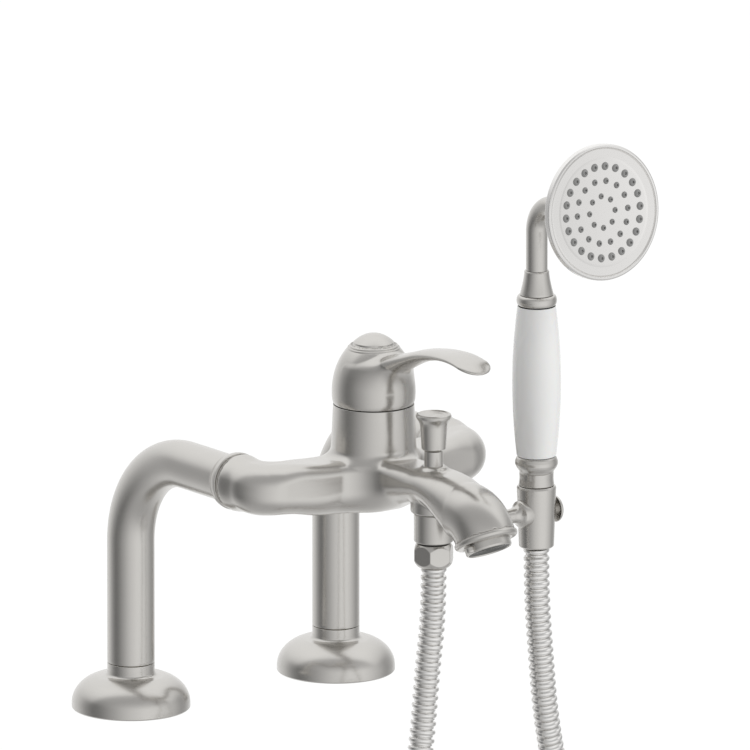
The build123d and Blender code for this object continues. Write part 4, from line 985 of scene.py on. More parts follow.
@dataclass
class Lever:
    """The domed cap and the flat blade that grows out of its front."""

    forward: float = 139.0
    pivot: float = 208.0
    cap_radius: float = 24.6
    cap_rise: float = 33.6
    skirt_drop: float = 14.0
    skirt_end: float = -6.95
    crown_radius: float = 11.9
    crown_rise: float = 1.0
    ball_radius: float = 24.2
    ball_foot: float = -7.6
    ball_slope: float = 0.159
    ball_back: float = 23.4
    wall_radius: float = 22.2
    wall_depth: float = 3.0
    reach: float = 107.0
    half_width: float = 11.0
    blade_power: float = 2.2
    blade_root: float = 8.0
    fillet: float = 11.0
    fillet_least: float = 0.35
    fillet_fade: tuple[float, float] = (17.0, 25.0)
    groove_radius: float = 12.4
    groove_depth: float = 0.5
    insert: tuple[float, float] = (13.6, 15.8)

    def ellipse(self, radial: Array, height: Array, radius: float, rise: float, power: float) -> Array:
        """Distance to a turned superellipse of that radius and half height."""
        return power_section(radial / radius, np.abs(height) / rise, radius, rise, power, 1e-4)

    def blade(self, x: Array, out: Array, height: Array) -> Array:
        """Distance to the blade: a crowned section that follows a curved middle line.

        The section is |x / half width|^p + |height / half depth|^p = 1, with one half depth
        above the middle line and another below it. Past the start of the tip the first term
        takes the round plan outline.
        """
        stations = (8, 20, 30, 40, 52, 64, 74, 86, 97, 107)
        middles = (13.5, 20.5, 24.6, 28.2, 32.2, 34.6, 35.7, 35.9, 34.3, 31.2)
        crowns = (6.5, 5.0, 4.0, 3.4, 3.2, 3.1, 3.0, 2.8, 2.4, 2.0)
        depths = (9.0, 9.0, 7.2, 5.4, 4.3, 3.4, 2.6, 2.4, 2.6, 2.6)
        middle, crown, depth = (flow(out, stations, level) for level in (middles, crowns, depths))
        half_width = flow(out, (8, 30, 52, 80, 96), (12.0, 11.0, 10.4, 10.9, self.half_width))
        half_depth = np.where(height > middle, crown, depth)
        tip = self.reach - self.half_width
        round_tip = np.hypot(x, out - tip) / self.half_width
        across = np.where(out < tip, np.abs(x) / half_width, round_tip)
        tall = np.abs(height - middle) / half_depth
        section = power_section(across, tall, half_width, half_depth, self.blade_power, 0.02)
        return np.maximum(section, self.blade_root - out)

    def distance(self, points: Array) -> Array:
        """Distance to the lever: cap and blade joined by a fillet, and hollow below."""
        x, out, height = points[:, 0], -points[:, 1] - self.forward, points[:, 2] - self.pivot
        radial = np.hypot(x, out)
        from_pivot = np.sqrt(radial**2 + height**2)
        dome = self.ellipse(radial, height, self.cap_radius, self.cap_rise, 2.0)
        skirt = self.ellipse(radial, height, self.cap_radius, self.skirt_drop, 3.0)
        cap = round_cut(np.where(height > 0, dome, skirt), self.skirt_end - height, 0.4)
        foot = self.ball_foot - self.ball_slope * (out + self.ball_back)
        ball = np.maximum(np.maximum(from_pivot - self.ball_radius, foot - height), height - 2)
        low = 1 - ease(height, *self.fillet_fade)
        fillet = self.fillet * (self.fillet_least + (1 - self.fillet_least) * low)
        lever = fillet_union(cap, self.blade(x, out, height), fillet)
        lever = np.minimum(lever, ball)
        groove = np.hypot(radial - self.groove_radius, cap) - self.groove_depth
        lever = np.where(height > 10, np.maximum(lever, -groove), lever)
        inner_rise = self.cap_rise - self.wall_depth
        vault = self.ellipse(radial, height, self.wall_radius, inner_rise, 2.0)
        inside = np.where(height > 0, vault, from_pivot - self.wall_radius)
        return np.maximum(lever, -inside)

    def dome(self, radii: Array) -> Array:
        """Height of the cap's dome above the pivot at each radius."""
        return self.cap_rise * np.sqrt(1 - (radii / self.cap_radius) ** 2)

    def ring(self) -> Piece:
        """Turn the beaded insert, which follows the dome just above its surface."""
        inner, outer = self.insert
        radii = np.linspace(inner, outer, 15)
        dome = self.dome(radii)
        bead = 0.75 * np.abs(np.sin(np.linspace(0, 2 * math.pi, 15))) ** 0.6
        corners = [*zip(radii, dome + bead - 0.3), (outer, dome[-1] - 1.0), (inner, dome[0] - 1.0)]
        return turned("cap_insert_ring", corners, (0, -self.forward, self.pivot))

    def crown(self) -> Piece:
        """Turn the raised middle of the cap: the dome and one minus the square of the radius."""
        radii = np.linspace(0, self.crown_radius, 25)
        dome = self.dome(radii)
        lift = 0.35 + self.crown_rise * (1 - (radii / self.crown_radius) ** 2)
        upper = list(zip(radii, dome + lift))
        foot = dome[-1] - 1.0
        corners = [*upper[:-1], (*upper[-1], 0.3), (self.crown_radius + 0.15, foot), (0, foot)]
        return turned("cap_crown", corners, (0, -self.forward, self.pivot))

    def build(self, shop: Workshop) -> None:
        """Make and dress the lever and its insert."""
        low, high = (-27, -250, 190), (27, -112, 250)
        handle = cast("lever_casting", self.distance, low, high, 0.62)
        shop.place(handle, Body.LEVER, Slot.NICKEL, "lever_handle")
        shop.place(self.ring(), Body.LEVER, Slot.NICKEL, "cap_insert")
        shop.place(self.crown(), Body.LEVER, Slot.NICKEL)


@dataclass
class Diverter:
    """The pull-up knob on the spout and the bush that it stands on."""

    forward: float = 198.0
    rim_radius: float = 10.5
    stem_radius: float = 5.5
    spindle_radius: float = 2.7
    seat: float = 172.0

    def build(self, shop: Workshop) -> None:
        """Make and dress the bush and the knob, at the heights of their nodes."""
        foot, top = span("diverter_knob")
        origin = (0, -self.forward, 0)
        bush_top = span("diverter_bush")[1]
        corners = [
            (self.spindle_radius, self.seat),
            (self.stem_radius, self.seat),
            (self.stem_radius, bush_top, 0.4),
            (self.spindle_radius, bush_top),
        ]
        bush = turned("diverter_stem", corners, origin, sides=64)
        shop.place(bush, Body.MIXER, Slot.NICKEL, "diverter_bush")
        rim = self.rim_radius
        corners = [
            (0, foot),
            (5.9, foot, 0.3),
            (7.15, foot + 1.0, 0.6),
            (7.4, foot + 5.0, 8.0),
            (7.95, foot + 14.5, 12.0),
            (8.6, top - 5.0, 5.0),
            (rim - 0.3, top - 2.6, 1.0),
            (rim, top - 1.6, 0.5),
            (rim - 0.4, top - 0.5, 0.4),
            (rim - 1.4, top, 0.5),
            (rim - 2.4, top - 0.7, 1.0),
            (rim - 5.0, top - 1.9, 4.0),
            (0, top - 2.3),
        ]
        knob = turned("diverter_pull", corners, origin, sides=96)
        shop.place(knob, Body.DIVERTER, Slot.NICKEL, "diverter_knob")


@dataclass
class Cradle:
    """The rod, flare and eye that hang from the outlet, the sleeve, and its end screw."""

    forward: float = 198.0
    rod_height: float = 136.0
    eye_radius: float = 11.6
    eye_bore: float = 8.45
    eye_low: float = 129.3
    eye_high: float = 146.7
    eye_edge: float = 0.9
    eye_fillet: float = 2.2
    flare_end: float = 69.6
    sleeve_x: float = 75.0
    sleeve_low: float = 115.0
    sleeve_high: float = 152.0
    sleeve_overlap: float = 0.3
    low_radius: float = 10.3
    high_radius: float = 11.65
    screw_radius: float = 8.0

    def sleeve_radius(self, height: Array | float) -> Array | float:
        """Outside radius of the sleeve at a height: a straight taper."""
        share = (height - self.sleeve_low) / (self.sleeve_high - self.sleeve_low)
        return self.low_radius + (self.high_radius - self.low_radius) * share

    def distance(self, points: Array) -> Array:
        """Distance to the cradle's arm: a rod that flares to the sleeve and ends in an eye."""
        x, y, z = points[:, 0], points[:, 1] + self.forward, points[:, 2]
        knots = (0, 56, 58.3, 59.8, 60.9, 61.7, 62.4, 63.2, 64, 70)
        radii = (4.35, 4.35, 4.6, 5.2, 6.1, 7.1, 7.8, 8.1, 8.2, 8.2)
        reach = 0.25
        steep = flow(x + reach, knots, radii) - flow(x - reach, knots, radii)
        rod = np.hypot(y, z - self.rod_height) - flow(x, knots, radii)
        rod = rod / np.hypot(1, steep / (2 * reach))
        rod = round_cut(np.maximum(rod, 4 - x), x - self.flare_end, 0.5)
        from_sleeve = np.hypot(x - self.sleeve_x, y) - self.sleeve_radius(z) + self.sleeve_overlap
        rod = np.maximum(rod, -from_sleeve)
        radial = np.hypot(x, y)
        middle = (self.eye_low + self.eye_high) / 2
        half = (self.eye_high - self.eye_low) / 2
        eye = round_cut(radial - self.eye_radius, np.abs(z - middle) - half, self.eye_edge)
        return np.maximum(fillet_union(rod, eye, self.eye_fillet), self.eye_bore - radial)

    def sleeve(self) -> Piece:
        """Turn the conical sleeve that the hand shower stands in."""
        bottom, top = self.sleeve_low, self.sleeve_high
        corners = [
            (8.6, bottom, 0.2),
            (9.6, bottom, 0.3),
            (self.low_radius, bottom + 0.8, 0.5),
            (self.sleeve_radius(bottom + 4.0), bottom + 4.0),
            (self.sleeve_radius(top - 1.2), top - 1.2, 0.6),
            (self.high_radius - 0.7, top, 0.4),
            (9.95, top, 0.2),
            (9.95, top - 1.2),
            (9.1, bottom + 6.0),
            (8.6, bottom + 5.0),
        ]
        return turned("cradle_socket", corners, (self.sleeve_x, -self.forward, 0), sides=112)

    def screw(self) -> Piece:
        """Turn the domed end screw about the rod's axis."""
        face = span("cradle_screw", 0)[1] - 3.6
        edge = self.screw_radius
        corners = [
            (0, face - 1.6),
            (4.0, face - 1.6),
            (4.0, face),
            (edge - 0.2, face, 0.2),
            *arc_corners((0, face + 0.5), (edge, 3.1), 0, 90, 16)[:-1],
            (0, face + 3.6),
        ]
        origin = (0, -self.forward, self.rod_height)
        return turned("cradle_end_screw", corners, origin, RIGHT, sides=80)

    def build(self, shop: Workshop) -> None:
        """Make and dress the arm, the sleeve and the screw."""
        low, high = (-13, -210.5, 124.5), (76, -185.5, 148.5)
        arm = cast("cradle_rod", self.distance, low, high, 0.55)
        shop.place(arm, Body.MIXER, Slot.NICKEL, "cradle_arm")
        shop.place(self.sleeve(), Body.MIXER, Slot.NICKEL, "cradle_sleeve")
        shop.place(self.screw(), Body.MIXER, Slot.NICKEL, "cradle_screw")


@dataclass
class HoseNut:
    """The hexagonal nut at the hose's outlet end, with rounded corners and crowned ends."""

    forward: float = 198.0
    low: float = 114.4
    high: float = 128.9
    corner_radius: float = 12.3
    corner_angle: float = 44.2
    corner_power: int = 60
    bore: float = 4.7
    end_radius: float = 9.3
    chamfer_height: float = 4.3
    sides: int = 180

    def build(self, shop: Workshop) -> None:
        """Make and dress the nut.

        Its radius at an angle is the flat's distance over the cosine of the angle from the
        flat, softened at the corners, and no more than a cone whose radius grows from each
        end by the height to the power 0.8.
        """
        angles = ring_angles(self.sides)
        flats = np.radians(self.corner_angle + 30 + 60 * np.arange(6))
        facing = np.maximum(np.cos(angles[:, None] - flats), 0)
        apothem = self.corner_radius * math.cos(math.pi / 6)
        soft = (facing**self.corner_power).sum(axis=1) ** (1 / self.corner_power)
        share = np.linspace(0, 1, 16)
        crown = self.end_radius + (self.corner_radius - self.end_radius) * share**0.8
        rise = self.chamfer_height * share
        limits = np.concatenate([crown, crown[::-1]])
        bore = np.full(self.sides, self.bore)
        radii = np.vstack([bore, np.minimum(limits[:, None], apothem / soft), bore])
        levels = [[self.low], self.low + rise, (self.high - rise)[::-1], [self.high]]
        z = np.concatenate(levels)[:, None] + 0 * radii
        rows = [radii * np.cos(angles), radii * np.sin(angles) - self.forward, z]
        quads = weave(len(radii), self.sides, closed=True)
        points = np.stack(rows, axis=-1).reshape(-1, 3)
        nut = add_mesh("hose_union_nut", points, quads, crease=28)
        shop.place(nut, Body.MIXER, Slot.NICKEL, "hose_nut")


@dataclass
class Hose:
    """The ribbed metal hose: two hanging stretches, and the rest tied in a round coil."""

    line: float = -198.0
    crest_radius: float = 7.7
    land_radius: float = 6.55
    groove_radius: float = 5.8
    rib_pitch: float = 5.1
    sides: int = 28
    length: float = 1750.0
    diameter: float = 15.0
    exit_height: float = 114.4
    coil_radius: float = 87.6
    coil_centre: tuple[float, float] = (37.0, -133.0)
    coil_spacing: float = 15.7
    coil_start: float = 160.0
    coil_end: float = 1100.0
    coil_lead: float = 22.0
    last_run: float = 50.0
    coil_points: int = 41

    def coil_point(self, angle: Array, swell: float = 1.0) -> Array:
        """Place of the coil's centre line at an angle in degrees.

        Its radius falls by the spacing in each turn from either end, and it climbs from one
        layer to the other in the half turn in the middle.

        Args:
            angle: angles along the coil.
            swell: factor on the radius.

        Returns:
            One point for each angle.
        """
        middle = (self.coil_start + self.coil_end) / 2
        turns = (abs(self.coil_start - middle) - np.abs(angle - middle)) / 360
        radius = swell * (self.coil_radius - self.coil_spacing * turns)
        climb = np.clip((angle - middle + 90) / 180, 0, 1)
        shift = -self.coil_spacing / 2 + self.coil_spacing * (1 - np.cos(math.pi * climb)) / 2
        theta = np.radians(angle)
        x = self.coil_centre[0] + radius * np.cos(theta)
        z = self.coil_centre[1] + radius * np.sin(theta)
        return np.stack([x, self.line + shift, z], axis=-1)

    def route(self) -> Array:
        """Points of the hose's route: down from the outlet, round the coil, and up to the
        cradle."""
        ends = np.array([self.coil_start, self.coil_end])
        lead = unit(self.coil_point(ends + 0.01) - self.coil_point(ends - 0.01))
        entry = self.coil_point(ends)[0] - lead[0] * self.coil_lead
        leave = self.coil_point(ends)[1] + lead[1] * self.coil_lead
        supply = [
            (0.0, self.line, self.exit_height),
            (0.0, self.line, 86.0),
            (-4.6, self.line, 52.0),
            (-9.4, self.line - 1.0, 8.0),
            entry - lead[0] * self.last_run,
            entry,
        ]
        step = (self.coil_end - self.coil_start) / (self.coil_points - 1)
        swell = 1 / math.cos(math.radians(step / 2))
        angles = np.linspace(self.coil_start, self.coil_end, self.coil_points)
        handset = [
            leave,
            leave + lead[1] * self.last_run,
            (82.6, self.line + 1.0, 11.0),
            (78.0, self.line, 52.0),
            (75.0, self.line, 88.0),
            (75.0, self.line, 121.3),
        ]
        return np.vstack([supply, self.coil_point(angles, swell), handset])

    def centre_line(self) -> Array:
        """Points read from the smooth curve that the route's points control."""
        route = self.route() * MM
        curve = bpy.data.curves.new("hose_line", "CURVE")
        curve.dimensions = "3D"
        curve.resolution_u = 24
        spline = curve.splines.new("NURBS")
        spline.points.add(len(route) - 1)
        spline.points.foreach_set("co", np.hstack([route, np.ones((len(route), 1))]).ravel())
        spline.order_u = 3
        spline.use_endpoint_u = True
        holder = bpy.data.objects.new("hose_line", curve)
        bpy.context.scene.collection.objects.link(holder)
        bpy.context.view_layer.update()
        line = bpy.data.meshes.new_from_object(holder)
        points = np.empty(len(line.vertices) * 3)
        line.vertices.foreach_get("co", points)
        bpy.data.objects.remove(holder)
        bpy.data.curves.remove(curve)
        bpy.data.meshes.remove(line)
        return points.reshape(-1, 3) / MM

    def build(self, shop: Workshop) -> None:
        """Each rib is a narrow groove, a broad crest and a lower land.
        """
        line = self.centre_line()
        steps = np.linalg.norm(np.diff(line, axis=0), axis=1)
        along = np.concatenate([[0.0], np.cumsum(steps)])
        total = float(along[-1])
        shares = np.array((0.0, 0.08, 0.14, 0.22, 0.38, 0.52, 0.62, 0.70, 0.92))
        crest, land, groove = self.crest_radius, self.land_radius, self.groove_radius
        shoulder, side = crest - 0.1, crest - 0.5
        profile = (groove, groove, side, shoulder, crest, shoulder, side, land, land)
        ribs = int(total / self.rib_pitch)
        places = (np.arange(ribs)[:, None] + shares) * (total / ribs)
        places = np.append(places.ravel(), total)
        radii = np.append(np.tile(profile, ribs), land)
        path, lead = (
            np.stack([np.interp(places, along, part) for part in rows.T], axis=1)
            for rows in (line, np.gradient(line, axis=0))
        )
        points, quads = carried(path, radii, (0, 1, 0), self.sides, unit(lead))
        hose = add_mesh("ribbed_hose", points, quads, crease=60)
        self.declare(shop, hose)
        LOG.info("hose line %.1f mm, %d ribs", total, ribs)

    def declare(self, shop: Workshop, hose: Piece) -> None:
        hose.data.materials.append(shop.materials[Slot.HOSE])
        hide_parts("hose_supply_run", "hose_coil", "hose_handset_run")
        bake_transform(hose)


@dataclass
class HandShower:
    """The hand shower in its cradle: ferrules, ceramic grip, bent neck and rose."""

    x: float = 75.0
    forward: float = 198.0
    stud_radius: float = 6.9
    tube_radius: float = 5.6
    grip_bore: float = 6.6
    grip_end: float = 11.5
    grip_middle: float = 14.4
    neck_radius: float = 6.35
    neck_bend: float = 17.5
    neck_rise: float = 39.0
    rose_tilt: float = 7.2
    rose_forward: float = 65.8
    rose_radius: float = 40.0
    rose_depth: float = 13.0
    dish_radius: float = 31.0
    dish_depth: float = 1.1
    nozzle_rings: tuple[tuple[int, float, float], ...] = (
        (22, 27.0, 2.45),
        (14, 18.4, 1.95),
        (8, 9.3, 1.8),
    )

    def rose_direction(self) -> Array:
        """Direction in which the rose's face looks."""
        tilt = math.radians(self.rose_tilt)
        return np.array((0.0, -math.cos(tilt), math.sin(tilt)))

    def lower_ferrule(self) -> list[Corner]:
        """Outline of the ferrule that stands in the cradle and flares to the grip."""
        low, high = span("lower_ferrule")
        base, top = high - 17.2, high + 0.35
        return [
            (self.tube_radius, low),
            (self.stud_radius, low, 0.2),
            (self.stud_radius, base),
            (10.1, base, 0.2),
            (10.4, base + 0.5, 0.3),
            (10.0, base + 4.0, 9.0),
            (10.1, base + 7.7, 0.1),
            (9.8, base + 8.0, 0.05),
            (10.15, base + 8.3, 0.1),
            (10.5, base + 9.2, 2.0),
            (12.0, base + 11.3, 3.0),
            (12.6, base + 13.0, 2.0),
            (12.6, base + 14.6, 1.6),
            (11.9, base + 16.6, 0.5),
            (11.3, top, 0.3),
            (self.tube_radius, top),
        ]

    def grip(self) -> list[Corner]:
        """Outline of the ceramic grip, whose radius swells by one minus the square of the
        height."""
        low, high = span("grip")
        share = np.linspace(0, 1, 41)
        swell = self.grip_end + (self.grip_middle - self.grip_end) * (1 - (2 * share - 0.98) ** 2)
        side = list(zip(swell, low + (high - low) * share))[1:-1]
        top = high + 0.45
        return [
            (self.grip_bore, low),
            (swell[0], low, 0.7),
            *side,
            (swell[-1], top, 0.7),
            (self.grip_bore, top),
        ]

    def upper_ring(self) -> list[Corner]:
        """Outline of the ring above the grip: half an ellipse on a short band."""
        low, high = span("upper_ring")
        middle, half = (low + high) / 2, (high - low) / 2
        return [
            (self.tube_radius, low),
            (10.2, low, 0.1),
            *arc_corners((10.3, middle), (1.55, half - 0.1), -84, 84, 17),
            (10.2, high, 0.1),
            (self.tube_radius, high),
        ]

    def upper_ferrule(self) -> list[Corner]:
        """Outline of the trumpet that leads from the ring to the neck."""
        low, high = span("upper_ferrule")
        share = np.linspace(0.06, 0.9, 16)
        return [
            (self.tube_radius, low),
            (9.75, low, 0.3),
            *zip(7.25 + 2.75 * (1 - share) ** 1.5, low + (high - low) * share),
            (7.4, high - 0.8, 0.4),
            (7.0, high, 0.3),
            (5.4, high),
            (5.4, low + 5.2),
            (self.tube_radius, low + 5.2),
        ]

    def neck_corner(self) -> Array:
        """Place where the neck's two straight lines meet."""
        return np.array((self.x, -self.forward, span("upper_ferrule")[1] + self.neck_rise))

    def rose_centre(self) -> Array:
        """Centre of the rose's front plane."""
        reach = self.rose_forward / math.cos(math.radians(self.rose_tilt))
        return self.neck_corner() + self.rose_direction() * reach

    def neck(self) -> Piece:
        """Carry a circle up, round the bend and along to the rose."""
        corner, ahead = self.neck_corner(), self.rose_direction()
        turn = math.radians(90 - self.rose_tilt)
        setback = self.neck_bend * math.tan(turn / 2)
        bend_foot = corner[2] - setback
        angles = np.linspace(0, turn, 31)[1:-1]
        out = np.concatenate([np.zeros(8), self.neck_bend * (1 - np.cos(angles))])
        climb = bend_foot + self.neck_bend * np.sin(angles)
        climb = np.concatenate([np.linspace(span("neck")[0], bend_foot, 8), climb])
        rise = np.stack([np.full_like(out, self.x), -self.forward - out, climb], axis=1)
        last = np.linalg.norm(self.rose_centre() - corner) - self.rose_depth + 3.0
        path = np.vstack([rise, corner + np.linspace(setback, last, 10)[:, None] * ahead])
        return add_mesh("bent_neck", *carried(path, np.full(len(path), self.neck_radius), RIGHT, 72))

    def dish(self, radial: Array | float) -> Array | float:
        """Depth of the face plate's dish at a radius."""
        return self.dish_depth * (1 - (radial / self.dish_radius) ** 2)

    def rose_face(self) -> list[Corner]:
        """Outline of the face plate: a raised border, and inside it a shallow dish whose
        depth falls from its middle by the square of the radius."""
        edge = self.rose_radius - 2.4
        inner = self.dish_radius
        bowl = inner * np.linspace(0, 1, 12)
        return [
            *zip(bowl, 1.0 + self.dish(bowl)),
            (inner + 1.2, 0.75, 0.4),
            (edge - 0.6, 0.55, 0.3),
            (edge, 1.0, 0.2),
            (edge, 3.0),
            (0, 3.4),
        ]

    def nozzles(self) -> Piece:
        """Stand a short hollow cone in every hole of the face plate, ring by ring.

        Each cone's outline runs from its foot up its side, over its lip and down its jet.
        """
        ahead, right = self.rose_direction(), np.array(RIGHT)
        above = np.cross(ahead, right)
        sides = 20
        turns = ring_angles(sides)[:, None]
        spokes = np.cos(turns) * right + np.sin(turns) * above
        rises = np.array((-1.4, -1.4, 0.05, 0.3, 1.0, 1.1, 1.0, 0.2, 0.2))
        widths = np.array((0.0, 1.0, 1.0, 0.94, 0.62, 0.5, 0.36, 0.28, 0.0))
        cone = weave(len(rises), sides, closed=False)
        points, quads = [], []
        for count, ring_radius, foot in self.nozzle_rings:
            surface = self.rose_centre() - ahead * (1.0 + self.dish(ring_radius))
            for angle in ring_angles(count):
                place = surface + ring_radius * (math.cos(angle) * right + math.sin(angle) * above)
                rows = place + rises[:, None] * ahead
                solid = rows[:, None, :] + foot * widths[:, None, None] * spokes
                quads.append(cone + len(points) * len(rises) * sides)
                points.append(solid.reshape(-1, 3))
        return add_mesh("rose_nozzles", np.vstack(points), np.vstack(quads))

    def rose_shell(self) -> list[Corner]:
        """Outline of the rose's shell: a rolled rim, a shallow dome behind it and a hub."""
        edge, socket = self.rose_radius, self.neck_radius + 0.1
        return [
            (edge - 2.6, 1.0),
            (edge - 1.9, 0.1, 0.3),
            (edge - 1.0, 0.0, 0.4),
            (edge, 0.8, 0.7),
            (edge, 4.4, 0.8),
            (edge - 1.4, 5.6, 1.5),
            (edge - 10.0, 7.0, 20.0),
            (edge - 24.0, 8.4, 16.0),
            (10.6, 9.8, 4.0),
            (8.3, self.rose_depth - 1.2, 2.0),
            (7.9, self.rose_depth, 0.3),
            (socket, self.rose_depth),
            (socket, 9.0),
            (4.7, 9.0),
            (4.7, 7.6),
            (14.5, 6.2),
            (edge - 10.0, 4.8),
            (edge - 2.6, 3.1),
        ]

    def build(self, shop: Workshop) -> None:
        """Make and dress the hand shower, from the cradle up."""
        origin = (self.x, -self.forward, 0.0)
        nickel = Slot.NICKEL
        for name, node, corners, slot, sides in (
            ("grip_base_ferrule", "lower_ferrule", self.lower_ferrule(), nickel, 112),
            ("ceramic_grip", "grip", self.grip(), Slot.CERAMIC, 128),
            ("grip_top_ring", "upper_ring", self.upper_ring(), nickel, 112),
            ("neck_ferrule", "upper_ferrule", self.upper_ferrule(), nickel, 96),
        ):
            piece = turned(name, corners, origin, sides=sides)
            shop.place(piece, Body.HANDSET, slot, node)
        shop.place(self.neck(), Body.HANDSET, nickel, "neck")
        for name, node, corners in (
            ("rose_cover", "rose_shell", self.rose_shell()),
            ("rose_face_plate", "rose_face", self.rose_face()),
        ):
            piece = turned(name, corners, self.rose_centre(), -self.rose_direction(), sides=160)
            shop.place(piece, Body.HANDSET, nickel, node, material=shop.rose_plate)
        shop.place(self.nozzles(), Body.HANDSET, Slot.NOZZLE, "nozzle_mat")


# Studio


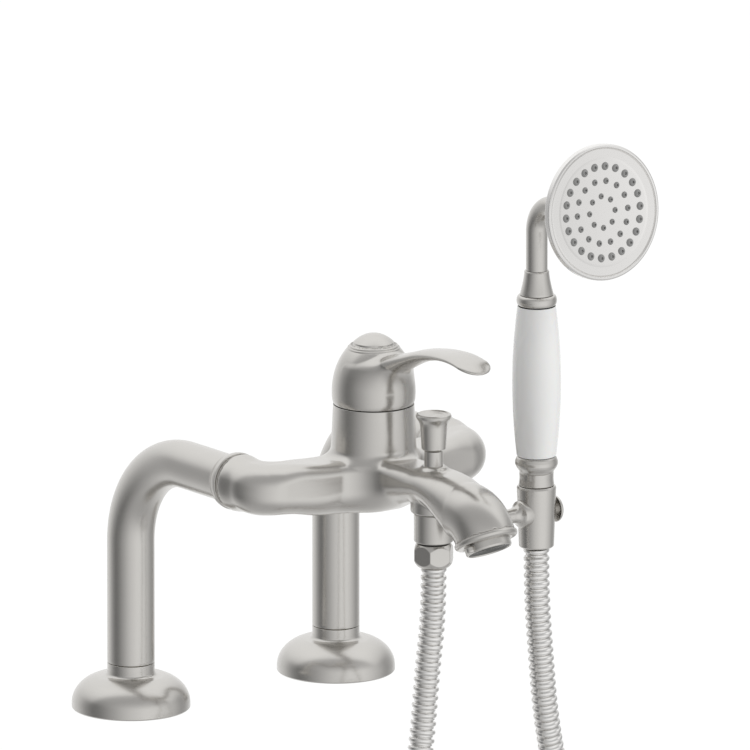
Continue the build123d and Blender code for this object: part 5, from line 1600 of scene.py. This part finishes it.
@dataclass
class Studio:
    """Pale floor, soft light and the camera of the photograph.

    Azimuths are degrees to the right of the camera, seen from the object, and a level of 1
    is white.
    """

    camera_azimuth: float = -36.5
    camera_elevation: float = 13.7
    frame_height: float = 439.1
    frame_centre: tuple[float, float, float] = (0.0, -140.3, 217.9)
    camera_distance: float = 18.0
    sensor: float = 36.0
    floor_height: float = -0.27
    floor_size: float = 12.0
    floor_colour: tuple[float, float, float, float] = (0.9, 0.9, 0.9, 1)
    floor_glow: float = 1.06
    floor_share: float = 0.92
    tent_radius: float = 4.0
    tent_strength: float = 1.2
    world_level: float = 1.0
    world_diffuse_level: float = 0.62
    key_energy: float = 34.0
    key_size: float = 1.6
    key_place: tuple[float, float, float] = (1.5, -2.2, 1.7)

    def camera(self) -> None:
        """Stand a long lens far off, so that the frame is as high as in the photograph."""
        lens = bpy.data.cameras.new("camera")
        lens.sensor_width = self.sensor
        lens.lens = self.sensor * self.camera_distance / (self.frame_height * MM)
        lens.clip_end = 100.0
        camera = bpy.data.objects.new("camera", lens)
        turn, lift = math.radians(self.camera_azimuth), math.radians(self.camera_elevation)
        flat = math.cos(lift)
        back = Vector((math.sin(turn) * flat, -math.cos(turn) * flat, math.sin(lift)))
        camera.location = Vector(self.frame_centre) * MM + back * self.camera_distance
        camera.rotation_euler = back.to_track_quat("Z", "Y").to_euler()
        bpy.context.scene.collection.objects.link(camera)
        bpy.context.scene.camera = camera

    def floor(self) -> None:
        """Lay a white floor whose own colour shows to the camera with a soft shadow."""
        half = self.floor_size / 2
        corners = [(-half, -half), (half, -half), (half, half), (-half, half)]
        mesh = bpy.data.meshes.new("floor")
        mesh.from_pydata([(x, y, self.floor_height) for x, y in corners], [], [(0, 1, 2, 3)])
        floor = bpy.data.objects.new("floor", mesh)
        bpy.context.scene.collection.objects.link(floor)
        floor.visible_glossy = False
        material = bpy.data.materials.new("floor")
        tree = Tree(material)
        tree.feed("Principled BSDF", {"Base Color": self.floor_colour, "Roughness": 0.9})
        seen = tree.add("LightPath", {}, "Is Camera Ray")
        mix = {
            0: tree.math("MULTIPLY", seen, self.floor_share),
            1: tree.nodes["Principled BSDF"].outputs[0],
            2: tree.add("Emission", {"Strength": self.floor_glow}),
        }
        tree.feed("Material Output", {"Surface": tree.add("MixShader", mix)})
        material.cycles.emission_sampling = "NONE"
        mesh.materials.append(material)

    def tent(self) -> None:
        """Hang a round tent that only reflections see.

        Its level follows a table of azimuths near the horizon, and elsewhere a table of the
        turn from the camera's side over the top to the far side. The azimuth is the
        arctangent of the place to the right over the place towards the camera, the turn that
        of the height over the place towards the camera, and the elevation the arcsine of the
        height over the distance.
        """
        around = (
            (-180, 1.05), (-150, 0.98), (-122, 0.78), (-98, 0.40), (-78, 0.20), (-61, 0.27),
            (-45, 0.42), (-30, 0.55), (-16, 0.70), (0, 0.84), (12, 0.90), (27, 1.0),
            (57, 1.0), (73, 0.86), (92, 0.68), (115, 0.42), (135, 0.55), (158, 0.9), (180, 1.05),
        )
        upwards = (
            (-180, 0.95), (-120, 0.75), (-90, 0.56), (-50, 0.5), (-20, 0.74), (0, 0.9),
            (25, 0.62), (45, 0.5), (62, 0.52), (74, 0.6), (78, 0.8), (84, 1.08), (100, 1.12),
            (140, 1.1), (180, 1.08),
        )
        weights = (
            (-90, 0.0), (-60, 0.0), (-40, 0.6), (-28, 1.0), (15, 1.0), (30, 0.4), (45, 0.1),
            (60, 0.0), (90, 0.0),
        )
        bpy.ops.mesh.primitive_uv_sphere_add(segments=64, ring_count=32, radius=self.tent_radius)
        tent = bpy.context.object
        tent.name = "tent"
        tent.visible_camera = False
        tent.visible_diffuse = False
        tent.visible_shadow = False
        material = bpy.data.materials.new("tent")
        tree = Tree(material)
        tree.nodes.remove(tree.nodes["Principled BSDF"])
        place = tree.add("TexCoord", {}, "Object")
        facing = (0, 0, -math.radians(self.camera_azimuth))
        place = tree.add("Mapping", {"Vector": place, "Rotation": facing})
        aside, away, height = (tree.add("SeparateXYZ", {0: place}, axis) for axis in "XYZ")
        toward = tree.math("MULTIPLY", away, -1.0)
        azimuth = tree.math("ARCTAN2", aside, toward)
        climb = tree.math("ARCTAN2", height, toward)
        sine = tree.math("MULTIPLY", height, 1 / self.tent_radius)
        sine = tree.math("MAXIMUM", tree.math("MINIMUM", sine, 1.0), -1.0)
        lift = tree.math("ARCSINE", sine, 0.0)
        most = self.tent_strength
        mix = {
            0: tree.ramp(lift, 180, 1.0, weights),
            6: tree.ramp(climb, 360, most, upwards),
            7: tree.ramp(azimuth, 360, most, around),
        }
        colour = tree.add("Mix", mix, 2, data_type="RGBA")
        glow = tree.add("Emission", {"Color": colour, "Strength": most})
        tree.feed("Material Output", {"Surface": glow})
        material.cycles.emission_sampling = "NONE"
        tent.data.materials.append(material)

    def lamps(self) -> None:
        """Light from all round, and a soft key from the right front that metal doesn't show."""
        world = bpy.data.worlds.new("studio")
        bpy.context.scene.world = world
        tree = Tree(world)
        level = {
            "Value": tree.add("LightPath", {}, "Is Diffuse Ray"),
            "To Min": self.world_level,
            "To Max": self.world_diffuse_level,
        }
        strength = tree.add("MapRange", level)
        tree.feed("Background", {"Strength": strength, "Color": (1, 1, 1, 1)})
        lamp = bpy.data.lights.new("key", "AREA")
        lamp.energy = self.key_energy
        lamp.size = self.key_size
        key = bpy.data.objects.new("key", lamp)
        key.location = self.key_place
        aim = Vector(self.frame_centre) * MM - key.location
        key.rotation_euler = aim.to_track_quat("-Z", "Y").to_euler()
        key.visible_camera = False
        key.visible_glossy = False
        bpy.context.scene.collection.objects.link(key)

    def build(self) -> None:
        """Set up the whole studio."""
        self.camera()
        self.floor()
        self.tent()
        self.lamps()
        bpy.context.scene.view_settings.view_transform = "Standard"


def main() -> None:
    """Build the studio and every sub-assembly in order."""
    logging.basicConfig(level=logging.INFO, format="%(message)s")
    Studio().build()
    shop = Workshop()
    shop.dress_frame()
    Hose().build(shop)
    Legs().build(shop)
    casting = Casting()
    casting.build(shop)
    Aerator().build(shop, casting)
    for part in (Lever(), Diverter(), Cradle(), HoseNut(), HandShower()):
        part.build(shop)
    LOG.info("%d pieces placed", shop.placed)


if __name__ == "__main__":
    main()
